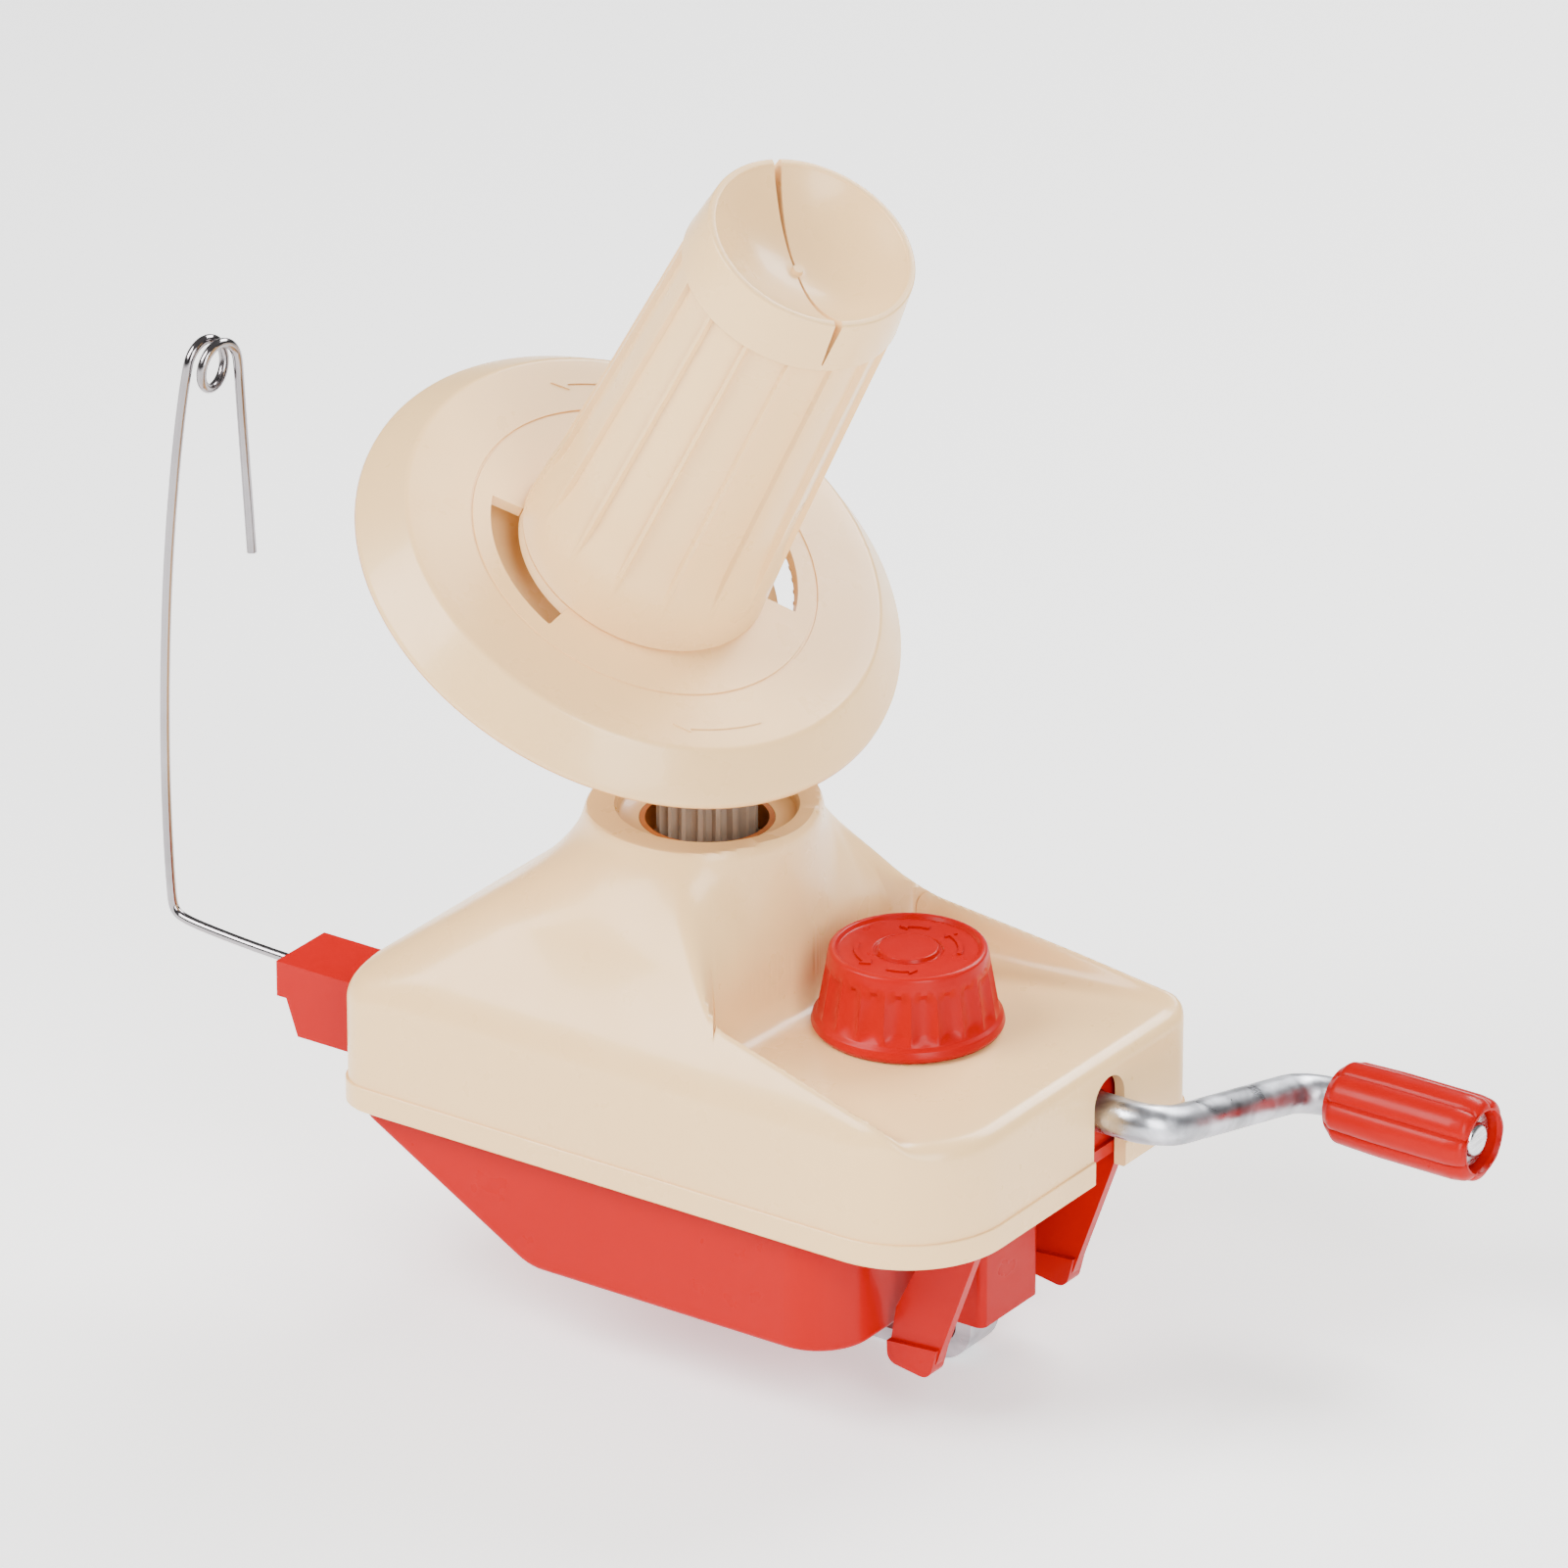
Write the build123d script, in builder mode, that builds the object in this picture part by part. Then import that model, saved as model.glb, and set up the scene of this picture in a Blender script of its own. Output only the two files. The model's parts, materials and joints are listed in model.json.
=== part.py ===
from build123d import *
from math import atan, cos, degrees, hypot, pi, radians, sin, tan
import os

# Hand-cranked ball winder with a screw clamp for a table edge. Millimetres, +Z up.
# Origin: where the vertical axis of the winding head meets the seat face, which is the flat
# underside of the lower housing that lies on the table. +X points to the crank end.

# ---------------------------------------------------------------- driving dimensions
wall = 2.2                      # moulded wall thickness
gap = 0.3                       # clearance between pieces that move past each other
fit = 0.05                      # radial running clearance of a shaft in its bearing

body_left, body_right = -59.0, 85.0
body_half = 45.0
left_radius, near_radius, far_radius = 8.0, 22.0, 5.5   # corners in plan, the last two at the crank end
skirt_z, band_z = 24.5, 29.8    # lower edge of the upper housing, top of its raised band
band_proud = 0.5
rim_z, deck_z = 51.5, 50.2
hill_half, hill_z = 29.0, 73.5
mouth_z, mouth_radius, mouth_hole = 88.0, 22.6, 13.4
pocket_left, pocket_half, pocket_half_end = 22.4, 35.3, 44.7
pocket_radius = 5.0

crank_y, crank_z = 14.8, 38.0
rod_radius = 4.0
crank_radius, crank_droop = 54.0, 13.3
arm_x, rod_bend = 97.0, 7.5
grip_start, grip_end, grip_radius = 105.0, 138.5, 9.0

crank_teeth, drive_teeth = 18, 6
crank_helix = 35.0

head_azimuth, head_tilt = -12.5, 31.0
apex_z = 165.5                  # where the bobbin axis crosses the vertical axis
sun_teeth, ring_teeth = 18, 66
sun_pitch_radius = 9.3
shaft_radius, spindle_radius = 3.0, 4.0

face_s = -34.5                  # disc face, measured along the bobbin axis from the apex
disc_face_radius, disc_radius, disc_drop = 49.3, 57.2, 9.2
disc_under_s = -36.9
ring_s_top, ring_s_bottom = -37.2, -41.6
spool_top_s, collar_s = 58.5, 46.7
spool_base_radius, spool_neck_radius, spool_rim_radius = 25.5, 22.0, 21.0
dish_depth, rib_count, rib_turn = 8.7, 15, 9.0
window_inner, window_outer, window_half_angle = 25.6, 31.9, 32.0
window_turn, slot_turn = 72.0, -21.0

knob_x, knob_y, knob_radius, knob_top_z = 44.4, 4.8, 19.1, 67.3
flute_count = 20
screw_radius = 3.0
strap_width, strap_thick = 10.0, 3.5
leg_x, arm_z, jaw_z = 61.15, 35.75, -15.6
jaw_end_x, strap_bend = 36.0, 6.0
pad_thick = 4.0

tub_left, tub_right, tub_half = -56.4, 59.5, 42.5
shelf_z, shelf_thick = 27.0, 2.5
finger_y, finger_thick = 24.0, 2.4
tub_floor, tub_radius, tub_radius_right = 2.5, 6.0, 12.0
post_grid, post_z = (84.0, 66.0), 31.0   # spacing and lower end of the screw posts
post_radius, foot_radius, pilot_radius = 3.6, 4.2, 1.3    # upper posts, lower posts, screw thread
screw_hole_radius, counterbore_radius, head_radius = 1.7, 3.3, 2.8
crank_slot_half, crank_slot_rise = 5.3, 2.8               # arched slot, its arch centre above the rod

guide_y, guide_z, wire_radius = -28.0, 43.0, 1.0
wire_x, wire_top_z, wire_end_z = -110.5, 169.5, 124.0

clip_radius, clip_thick, groove_depth = 6.8, 1.0, 0.8        # spring clips on the shafts
grip_recess_radius, grip_recess = 6.2, 4.5

# ---------------------------------------------------------------- derived values
tilt = radians(head_tilt)
azimuth = radians(head_azimuth)
up_axis = Vector(sin(tilt) * cos(azimuth), sin(tilt) * sin(azimuth), cos(tilt))
low_axis = Vector(cos(tilt) * cos(azimuth), cos(tilt) * sin(azimuth), -sin(tilt))
apex = Vector(0, 0, apex_z)
bobbin_axis = Axis(apex, up_axis)
bobbin_side = Plane(origin=apex, x_dir=low_axis, z_dir=low_axis.cross(up_axis))
head_side = Plane.XZ.rotated((0, 0, head_azimuth))

# pitch cones that roll on each other inside the ring, with both apexes at the crossing
sun_cone = atan(sun_teeth / ring_teeth * sin(tilt) / (1 - sun_teeth / ring_teeth * cos(tilt)))
ring_cone = sun_cone + tilt
mesh_length = sun_pitch_radius / sin(sun_cone)
module = 2 * sun_pitch_radius / sun_teeth

# crossed helical pair on shafts at right angles, their centre distance is crank_y
helix_1 = radians(crank_helix)
helix_2 = pi / 2 - helix_1
screw_module = crank_y / (crank_teeth / (2 * cos(helix_1)) + drive_teeth / (2 * cos(helix_2)))
crank_pitch = crank_teeth * screw_module / (2 * cos(helix_1))
drive_pitch = drive_teeth * screw_module / (2 * cos(helix_2))


def bobbin_level(s, turn=0.0):
    """Plane across the bobbin axis, s above the apex, its X turned from the low side."""
    x_dir = low_axis.rotate(Axis((0, 0, 0), up_axis), turn)
    return Plane(origin=apex + up_axis * s, x_dir=x_dir, z_dir=up_axis)


def save(part, name):
    part.label = name
    export_step(part, f"parts/{name}.step")


def footprint(x0, x1, half, grow=0.0):
    """Plan of the body between x0 and x1; its corner radii grow, or shrink, with the outline."""
    with BuildSketch(mode=Mode.PRIVATE) as outline:
        with Locations(((x0 + x1) / 2, 0)):
            Rectangle(x1 - x0, 2 * half)
        fillet(outline.vertices().group_by(Axis.X)[0], left_radius + grow)
        fillet(outline.vertices().group_by(Axis.X)[-1].sort_by(Axis.Y)[0], near_radius + grow)
        fillet(outline.vertices().group_by(Axis.X)[-1].sort_by(Axis.Y)[-1], far_radius + grow)
    return outline.sketch


def gear_face(teeth, root, tip, root_share, tip_share, turn=0.0):
    """Face with straight-flanked teeth; the shares are of the tooth pitch, at root and tip."""
    points = []
    pitch = 2 * pi / teeth
    for i in range(teeth):
        centre = radians(turn) + i * pitch
        corners = ((root, -root_share), (tip, -tip_share), (tip, tip_share), (root, root_share))
        for radius, share in corners:
            angle = centre + share * pitch / 2
            points.append((radius * cos(angle), radius * sin(angle)))
    with BuildSketch(mode=Mode.PRIVATE) as outline:
        with BuildLine():
            Polyline(*points, close=True)
        make_face()
    return outline.sketch


def twisted_gear(teeth, pitch_radius, width, twist, turn):
    """Helical gear along +Z from the XY plane, turned so that its middle section is at turn."""
    depth = 0.62 * screw_module
    face = gear_face(teeth, pitch_radius - 1.25 * depth, pitch_radius + depth, 0.62, 0.26, turn)
    start = Rot(0, 0, -twist / 2) * face.face()
    return Solid.extrude_linear_with_rotation(start, (0, 0, 0), (0, 0, width), twist)


os.makedirs("parts", exist_ok=True)

# ================================================================ housings


def roof_line(inset, run):
    """Two ends (distance from the wall, z) of a roof slope of that run, moved inward by inset."""
    slope = (hill_z - rim_z) / run
    shift = inset * hypot(slope, 1)
    low = (inset, rim_z + slope * inset - shift)
    high = ((hill_z - inset + shift - rim_z) / slope, hill_z - inset)
    return low, high


def housing_form(inset):
    """Outer form of the upper housing, or with an inset the hollow inside it."""
    floor_z, base_z = deck_z - inset, skirt_z - inset
    shrink = -0.5 * inset
    with BuildPart() as form:
        with BuildSketch(Plane.XY.offset(base_z)):
            add(footprint(body_left + inset, body_right - inset, body_half - inset, shrink))
        extrude(amount=hill_z - skirt_z)
        # roof slopes of the two long sides
        low, high = roof_line(inset, body_half - hill_half)
        with BuildSketch(Plane.YZ.offset(body_left - 5)):
            Polygon(
                (body_half - low[0], base_z),
                (body_half - low[0], low[1]),
                (body_half - high[0], high[1]),
                (high[0] - body_half, high[1]),
                (low[0] - body_half, low[1]),
                (low[0] - body_half, base_z),
                align=None,
            )
        extrude(amount=body_right - body_left + 10, mode=Mode.INTERSECT)
        # roof slope of the left end
        low, high = roof_line(inset, -hill_half - body_left)
        with BuildSketch(Plane.XZ):
            Polygon(
                (body_left + low[0], base_z),
                (body_left + low[0], low[1]),
                (body_left + high[0], high[1]),
                (body_right, high[1]),
                (body_right, base_z),
                align=None,
            )
        extrude(amount=body_half, both=True, mode=Mode.INTERSECT)
        # flare that leads the hill up into the neck
        with BuildSketch(Plane.XZ):
            with BuildLine():
                Polyline(
                    (mouth_radius - inset, mouth_z - 2 - inset),
                    (0, mouth_z - 2 - inset),
                    (0, hill_z - inset),
                    (hill_half - 0.2 - inset, hill_z - inset),
                )
                ThreePointArc(
                    (hill_half - 0.2 - inset, hill_z - inset),
                    (24.8 - inset, hill_z + 6.3 - inset),
                    (mouth_radius - inset, mouth_z - 2 - inset),
                )
            make_face()
        revolve(axis=Axis.Z)
        with BuildSketch(Plane.XY.offset(floor_z)) as pocket:
            with BuildLine():
                Polyline(
                    (pocket_left - inset, pocket_half + inset),
                    (body_right + 5, pocket_half_end + inset),
                    (body_right + 5, -pocket_half_end - inset),
                    (pocket_left - inset, -pocket_half - inset),
                    close=True,
                )
            make_face()
            fillet(pocket.vertices().group_by(Axis.X)[0], pocket_radius + inset)
        extrude(amount=50, mode=Mode.SUBTRACT)
        top_z = mouth_z - 1.5 * inset
        with BuildSketch(Plane.XY.offset(floor_z - 1)):
            Circle(mouth_radius - inset)
        extrude(amount=top_z - floor_z + 1)
    return form.part


outer_form = housing_form(0)
inner_form = housing_form(wall)

with BuildPart() as screw_posts:
    with BuildSketch(Plane.XY.offset(post_z)):
        with GridLocations(*post_grid, 2, 2):
            Circle(post_radius)
    extrude(amount=40)
    add(outer_form, mode=Mode.INTERSECT)

with BuildPart() as upper_housing:
    add(outer_form)
    chamfer(upper_housing.edges().group_by(Axis.Z)[-1], 1.2)
    with BuildSketch(Plane.XY.offset(skirt_z)):
        add(footprint(body_left - band_proud, body_right + band_proud, body_half + band_proud, band_proud))
    extrude(amount=band_z - skirt_z)
    add(inner_form, mode=Mode.SUBTRACT)
    # dished mouth with the hole for the sun gear
    with BuildSketch(Plane.XZ):
        Polygon(
            (0, mouth_z + 1),
            (17.8, mouth_z + 1),
            (17.8, mouth_z),
            (17.2, mouth_z - 2.2),
            (mouth_hole, mouth_z - 2.9),
            (mouth_hole, mouth_z - 12),
            (0, mouth_z - 12),
            align=None,
        )
    revolve(axis=Axis.Z, mode=Mode.SUBTRACT)
    # arched slot for the crank, open at the skirt
    with BuildSketch(Plane.YZ.offset(body_right - 12)):
        slot_top = crank_z + crank_slot_rise
        with Locations((crank_y, slot_top - 20 / 2)):
            Rectangle(2 * crank_slot_half, 20)
        with Locations((crank_y, slot_top)):
            Circle(crank_slot_half)
    extrude(amount=20, mode=Mode.SUBTRACT)
    # hole for the clamp screw through the deck
    with BuildSketch(Plane.XY.offset(deck_z - 6)):
        with Locations((knob_x, knob_y)):
            Circle(screw_radius + gap)
    extrude(amount=10, mode=Mode.SUBTRACT)
    # seat for the tongue of the yarn guide holder in the left wall
    with Locations((body_left, guide_y, 38.8)):
        Box(10, 10, 9, mode=Mode.SUBTRACT)
    # posts that the housing screws bite into, merged into the roof
    add(screw_posts.part)
    with BuildSketch(Plane.XY.offset(post_z)):
        with GridLocations(*post_grid, 2, 2):
            Circle(pilot_radius)
    extrude(amount=12, mode=Mode.SUBTRACT)
save(upper_housing.part, "upper_housing")



def tub_plan(inset):
    """Plan of the tub, or with an inset the plan of its hollow."""
    with BuildSketch(mode=Mode.PRIVATE) as plan:
        with Locations(((tub_left + tub_right) / 2, 0)):
            Rectangle(tub_right - tub_left - 2 * inset, 2 * (tub_half - inset))
        fillet(plan.vertices().group_by(Axis.X)[0], tub_radius - inset)
        fillet(plan.vertices().group_by(Axis.X)[-1], tub_radius_right - inset)
    return plan.sketch


lip_half = body_half - wall - gap
inner_post_x, outer_post_x = -10.0, 78.0      # middles of the two crank bearing blocks
bush_radius, bush_skin = 6.0, 1.2             # crank bushes, and the thin wall left in front of them
shaft_bush_radius, shaft_seat_z, shaft_post_top = 5.0, 6.0, 24.0
hook_travel = 28.5
tub_slope_end = -13.5                         # where the slope of the left end meets the underside
slot_half, slot_depth = strap_width / 2 + 0.5, strap_thick + 1.0    # way round the strap
# side forms of a table-edge stop as (x, z): the whole blade, and the toe at its foot
stop_top = shelf_z + 1
stop_blade = ((60.6, -3.6), (71.0, -5.4), (80.3, 20.8), (82.5, stop_top), (72.2, stop_top),
              (66.5, 14.9), (62.2, 6.2))
stop_toe = ((60.8, -5.6), (70.6, -7.2), (72.3, -0.4), (60.6, -1.2))
toe_thick, toe_radius = 4.4, 2.4

with BuildPart() as tub_hollow:
    with BuildSketch(Plane.XZ):
        Polygon(
            (tub_left, shelf_z + 5),
            (tub_left, skirt_z + 3.3),
            (tub_slope_end + 0.7, tub_floor),
            (tub_right, tub_floor),
            (tub_right, shelf_z + 5),
            align=None,
        )
    extrude(amount=tub_half, both=True)
    with BuildSketch(Plane.XY):
        add(tub_plan(wall))
    extrude(amount=shelf_z + 5, mode=Mode.INTERSECT)

with BuildPart() as lower_housing:
    # tub with a sloping left end, flat underside at z = 0
    with BuildSketch(Plane.XZ) as side:
        Polygon(
            (tub_left, shelf_z + shelf_thick),
            (tub_left, skirt_z),
            (tub_slope_end, 0),
            (tub_right, 0),
            (tub_right, shelf_z + shelf_thick),
            align=None,
        )
        fillet(side.vertices().sort_by(Axis.Y)[:2].sort_by(Axis.X)[0], 12)
    extrude(amount=tub_half, both=True)
    with BuildSketch(Plane.XY):
        add(tub_plan(0))
    extrude(amount=shelf_z + shelf_thick, mode=Mode.INTERSECT)
    fillet(lower_housing.faces().sort_by(Axis.Z)[0].edges(), 1.2)
    # shelf that closes the skirt round the clamp
    with BuildSketch(Plane.XY.offset(shelf_z)):
        add(footprint(body_left + wall + gap, body_right - wall - gap, lip_half, -1.4))
    extrude(amount=shelf_thick)
    add(tub_hollow.part, mode=Mode.SUBTRACT)
    # two slanted table-edge stops, each with a thicker rounded toe
    for side_sign in (-1, 1):
        for points, thick in ((stop_blade, finger_thick), (stop_toe, toe_thick)):
            with BuildSketch(Plane.XZ.offset(-side_sign * finger_y - thick / 2)) as stop:
                Polygon(*points, align=None)
                fillet(stop.vertices().sort_by(Axis.Y)[:2], toe_radius)
            extrude(amount=thick)
    # posts under the housing screws
    with BuildSketch(Plane.XY):
        with GridLocations(*post_grid, 2, 2):
            Circle(foot_radius)
    extrude(amount=post_z)
    # the feet are cut back under the slope of the left end
    with BuildSketch(Plane.XZ):
        Polygon((-60, -1), (-60, skirt_z), (tub_left, skirt_z), (tub_slope_end, 0),
                (tub_slope_end, -1), align=None)
    extrude(amount=tub_half, both=True, mode=Mode.SUBTRACT)
    # screw holes with counterbores
    with BuildSketch(Plane.XY.offset(-1)):
        with GridLocations(*post_grid, 2, 2):
            Circle(screw_hole_radius)
    extrude(amount=post_z + 5, mode=Mode.SUBTRACT)
    with BuildSketch(Plane.XY.offset(-1)):
        with GridLocations(*post_grid, 2, 2):
            Circle(counterbore_radius)
    extrude(amount=post_z - 2, mode=Mode.SUBTRACT)
    # way for the clamp hook through the end wall and the shelf
    way_left, way_right = 34.0, leg_x + slot_depth / 2
    with Locations(((way_left + way_right) / 2, knob_y, tub_floor + 0.1 + 20)):
        Box(way_right - way_left, 2 * slot_half, 40, mode=Mode.SUBTRACT)
    with Locations((leg_x, knob_y, 10)):
        Box(slot_depth, 2 * slot_half, 60, mode=Mode.SUBTRACT)
save(lower_housing.part, "lower_housing")

# bearing blocks that stand in the lower housing
with BuildPart() as shaft_post:
    with BuildSketch(Plane.XY.offset(tub_floor)):
        Circle(shaft_bush_radius + 2)
    extrude(amount=shaft_post_top - tub_floor)
    with BuildSketch(Plane.XY.offset(shaft_seat_z)):
        Circle(shaft_bush_radius)
    extrude(amount=shaft_post_top, mode=Mode.SUBTRACT)
save(shaft_post.part, "shaft_post")

for name, middle, length, foot_z in (
    ("crank_block_inner", inner_post_x, 5, tub_floor),
    ("crank_block_outer", outer_post_x, 7, shelf_z + shelf_thick),
):
    with BuildPart() as crank_block:
        with BuildSketch(Plane.YZ.offset(middle - length / 2)):
            with Locations((crank_y, (crank_z + foot_z) / 2)):
                Rectangle(16, crank_z - foot_z)
            with Locations((crank_y, crank_z)):
                Circle(8)
        extrude(amount=length)
        # the bush goes in from the inner side and stops at a thin outer skin
        with BuildSketch(Plane.YZ.offset(middle - length)):
            with Locations((crank_y, crank_z)):
                Circle(bush_radius)
        extrude(amount=1.5 * length - bush_skin, mode=Mode.SUBTRACT)
        with BuildSketch(Plane.YZ.offset(middle - length)):
            with Locations((crank_y, crank_z)):
                Circle(rod_radius + gap)
        extrude(amount=2 * length, mode=Mode.SUBTRACT)
    save(crank_block.part, name)

with BuildPart() as housing_screws:
    with BuildSketch(Plane.XY.offset(post_z - 6)):
        with GridLocations(*post_grid, 2, 2):
            Circle(head_radius)
    extrude(amount=2.9)
    with BuildSketch(Plane.XY.offset(post_z - 4)):
        with GridLocations(*post_grid, 2, 2):
            Circle(pilot_radius)
    extrude(amount=14)
save(housing_screws.part, "housing_screws")

# ================================================================ winding head drive
with BuildPart() as shaft_bush:
    with BuildSketch(Plane.XY.offset(shaft_seat_z)):
        Circle(shaft_bush_radius)
    extrude(amount=shaft_post_top - shaft_seat_z)
    with BuildSketch(Plane.XY.offset(shaft_post_top)):
        Circle(shaft_bush_radius + 1.2)
    extrude(amount=1.6)
    Hole(shaft_radius + fit)
save(shaft_bush.part, "shaft_bush")

cone_low, cone_high = 55.6, 50.6     # cone distances of the bevelled sun teeth
arm_low_z = apex_z - cone_high * cos(sun_cone) + 0.6

with BuildPart() as main_shaft:
    with BuildSketch(Plane.XY.offset(8)):
        Circle(shaft_radius)
    extrude(amount=arm_low_z + 2.4 - 8)
    chamfer(main_shaft.edges().sort_by(Axis.Z)[0], 0.5)
save(main_shaft.part, "main_shaft")

drive_width = 13.0
drive_twist = -degrees(drive_width * tan(helix_2) / drive_pitch)
drive_blank = twisted_gear(drive_teeth, drive_pitch, drive_width, drive_twist, 90 + 180 / drive_teeth)
with BuildPart() as drive_pinion:
    add(Pos(0, 0, crank_z - drive_width / 2) * drive_blank)
    hub_z = shaft_post_top + 2.0
    with BuildSketch(Plane.XY.offset(hub_z)):
        Circle(drive_pitch - 0.9)
    extrude(amount=crank_z - drive_width / 2 - hub_z)
    with BuildSketch(Plane.XY.offset(25)):
        Circle(shaft_radius)
    extrude(amount=40, mode=Mode.SUBTRACT)
save(drive_pinion.part, "drive_pinion")

crank_width = 9.0
crank_twist = -degrees(crank_width * tan(helix_1) / crank_pitch)
# on the crank the gear's own X and Y point along the row's Y and Z
crank_blank = twisted_gear(crank_teeth, crank_pitch, crank_width, crank_twist, 180)
gear_place = Plane(origin=(-crank_width / 2, crank_y, crank_z), x_dir=(0, 1, 0), z_dir=(1, 0, 0))
with BuildPart() as crank_gear:
    add(gear_place.location * crank_blank)
    with BuildSketch(Plane.YZ.offset(crank_width / 2)):
        with Locations((crank_y, crank_z)):
            Circle(7)
    extrude(amount=6)
    with BuildSketch(Plane.YZ.offset(-20)):
        with Locations((crank_y, crank_z)):
            Circle(rod_radius)
    extrude(amount=40, mode=Mode.SUBTRACT)
save(crank_gear.part, "crank_gear")

# fixed sun gear: flange in the neck, long straight pinion, bevelled teeth at its top
sun_depth = 0.62 * module

def sun_face(scale):
    root = (sun_pitch_radius - 1.25 * sun_depth) * scale
    tip = (sun_pitch_radius + sun_depth) * scale
    return gear_face(sun_teeth, root, tip, 0.62, 0.26, head_azimuth + 180 / sun_teeth)


sun_flange_z = mouth_z - 11.0
cone_low_z = apex_z - cone_low * cos(sun_cone)
cone_high_z = apex_z - cone_high * cos(sun_cone)
with BuildPart() as sun_gear:
    with BuildSketch(Plane.XY.offset(sun_flange_z)):
        Circle(18)
    extrude(amount=2.4)
    with BuildSketch(Plane.XY.offset(sun_flange_z)):
        add(sun_face(1.0))
    extrude(amount=cone_low_z - 2 - sun_flange_z)
    with BuildSketch(Plane.XY.offset(cone_low_z)):
        add(sun_face(cone_low / mesh_length))
    with BuildSketch(Plane.XY.offset(cone_high_z)):
        add(sun_face(cone_high / mesh_length))
    loft(ruled=True)
    with BuildSketch(Plane.XY.offset(cone_low_z - 3)):
        Circle(sun_pitch_radius - 1.3 * sun_depth)
    extrude(amount=4)
    with BuildSketch(Plane.XY.offset(sun_flange_z - 1)):
        Circle(shaft_radius + fit)
    extrude(amount=60, mode=Mode.SUBTRACT)
save(sun_gear.part, "sun_gear")

with BuildPart() as neck_ring:
    with BuildSketch(Plane.XY.offset(sun_flange_z + 2.4)):
        Circle(mouth_hole - 0.1)
        Circle(mouth_hole - 1.2, mode=Mode.SUBTRACT)
    extrude(amount=mouth_z - 2.9 - sun_flange_z - 2.4)
save(neck_ring.part, "neck_ring")

# carrier arm between the vertical shaft and the tilted spindle, in the plane of the tilt
arm_top_s, arm_low_s, arm_half = -37.7, -44.5, 7.0
plate_radius, plate_thick = 31.0, 1.6


def arm_point(s, across):
    """Point of the tilt plane as (outward, z), from bobbin coordinates."""
    return (s * sin(tilt) + across * cos(tilt), apex_z + s * cos(tilt) - across * sin(tilt))


def arm_at_x(s, x):
    """Where the line across the bobbin axis at s stands at x."""
    return (x, apex_z + s / cos(tilt) - x * tan(tilt))


# round plate under the ring gear, open where the sun gear stands
with BuildPart() as carrier_plate:
    with BuildSketch(bobbin_level(arm_low_s)):
        Circle(plate_radius)
    extrude(amount=plate_thick)
    with BuildSketch(Plane.XY.offset(arm_low_z - 20)):
        Circle(sun_pitch_radius + sun_depth + 2.5)
    extrude(amount=40, mode=Mode.SUBTRACT)

with BuildPart() as carrier_arm:
    with BuildSketch(head_side):
        Polygon(
            (5, arm_low_z),
            arm_at_x(arm_top_s, 5),
            arm_point(arm_top_s, -8),
            arm_point(arm_low_s, -8),
            ((apex_z + arm_low_s / cos(tilt) - arm_low_z) / tan(tilt), arm_low_z),
            align=None,
        )
    extrude(amount=arm_half, both=True)
    fillet(carrier_arm.edges().filter_by(Axis((0, 0, 0), up_axis)), 5)
    add(carrier_plate.part)
    with BuildSketch(Plane.XY.offset(arm_low_z)):
        Circle(shaft_radius)
    extrude(amount=3, mode=Mode.SUBTRACT)
    with BuildSketch(bobbin_level(arm_low_s + 1)):
        Circle(spindle_radius)
    extrude(amount=20, mode=Mode.SUBTRACT)
save(carrier_arm.part, "carrier_arm")

spindle_top_s = 21.0
with BuildPart() as spindle:
    with BuildSketch(bobbin_level(arm_low_s + 1)):
        Circle(spindle_radius)
    extrude(amount=spindle_top_s - arm_low_s - 1)
    with BuildSketch(bobbin_level(spindle_top_s - 2.3)):
        Circle(spindle_radius + 1)
        Circle(spindle_radius - groove_depth, mode=Mode.SUBTRACT)
    extrude(amount=clip_thick, mode=Mode.SUBTRACT)
save(spindle.part, "spindle")

with BuildPart() as spindle_clip:
    with BuildSketch(bobbin_level(spindle_top_s - 2.3)):
        Circle(clip_radius)
        Circle(spindle_radius - groove_depth, mode=Mode.SUBTRACT)
    extrude(amount=clip_thick)
save(spindle_clip.part, "spindle_clip")

# ================================================================ bobbin
hub_top_s = spindle_top_s - 2.6
hub_radius = 8.5


def ring_scale(s):
    return -s / (mesh_length * cos(ring_cone))


ring_pitch = mesh_length * sin(ring_cone)
ring_depth = sun_depth / cos(ring_cone)


def ring_face(scale):
    """Gap form of the internal teeth: the tooth spaces point outward."""
    root = (ring_pitch - ring_depth) * scale
    tip = (ring_pitch + 1.25 * ring_depth) * scale
    return gear_face(ring_teeth, root, tip, 0.74, 0.38, 180 / ring_teeth)


with BuildPart() as ring_space:
    with BuildSketch(bobbin_level(ring_s_bottom - 1)):
        add(ring_face(ring_scale(ring_s_bottom - 1)))
    with BuildSketch(bobbin_level(ring_s_top + 0.6)):
        add(ring_face(ring_scale(ring_s_top + 0.6)))
    loft(ruled=True)

with BuildPart() as ring_gear:
    with BuildSketch(bobbin_side):
        Polygon(
            (20, disc_under_s),
            (40.5, disc_under_s),
            (40.5, disc_under_s - 1.6),
            (39.2, ring_s_bottom),
            (20, ring_s_bottom),
            align=None,
        )
    revolve(axis=bobbin_axis)
    add(ring_space.part, mode=Mode.SUBTRACT)
save(ring_gear.part, "ring_gear")

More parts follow.
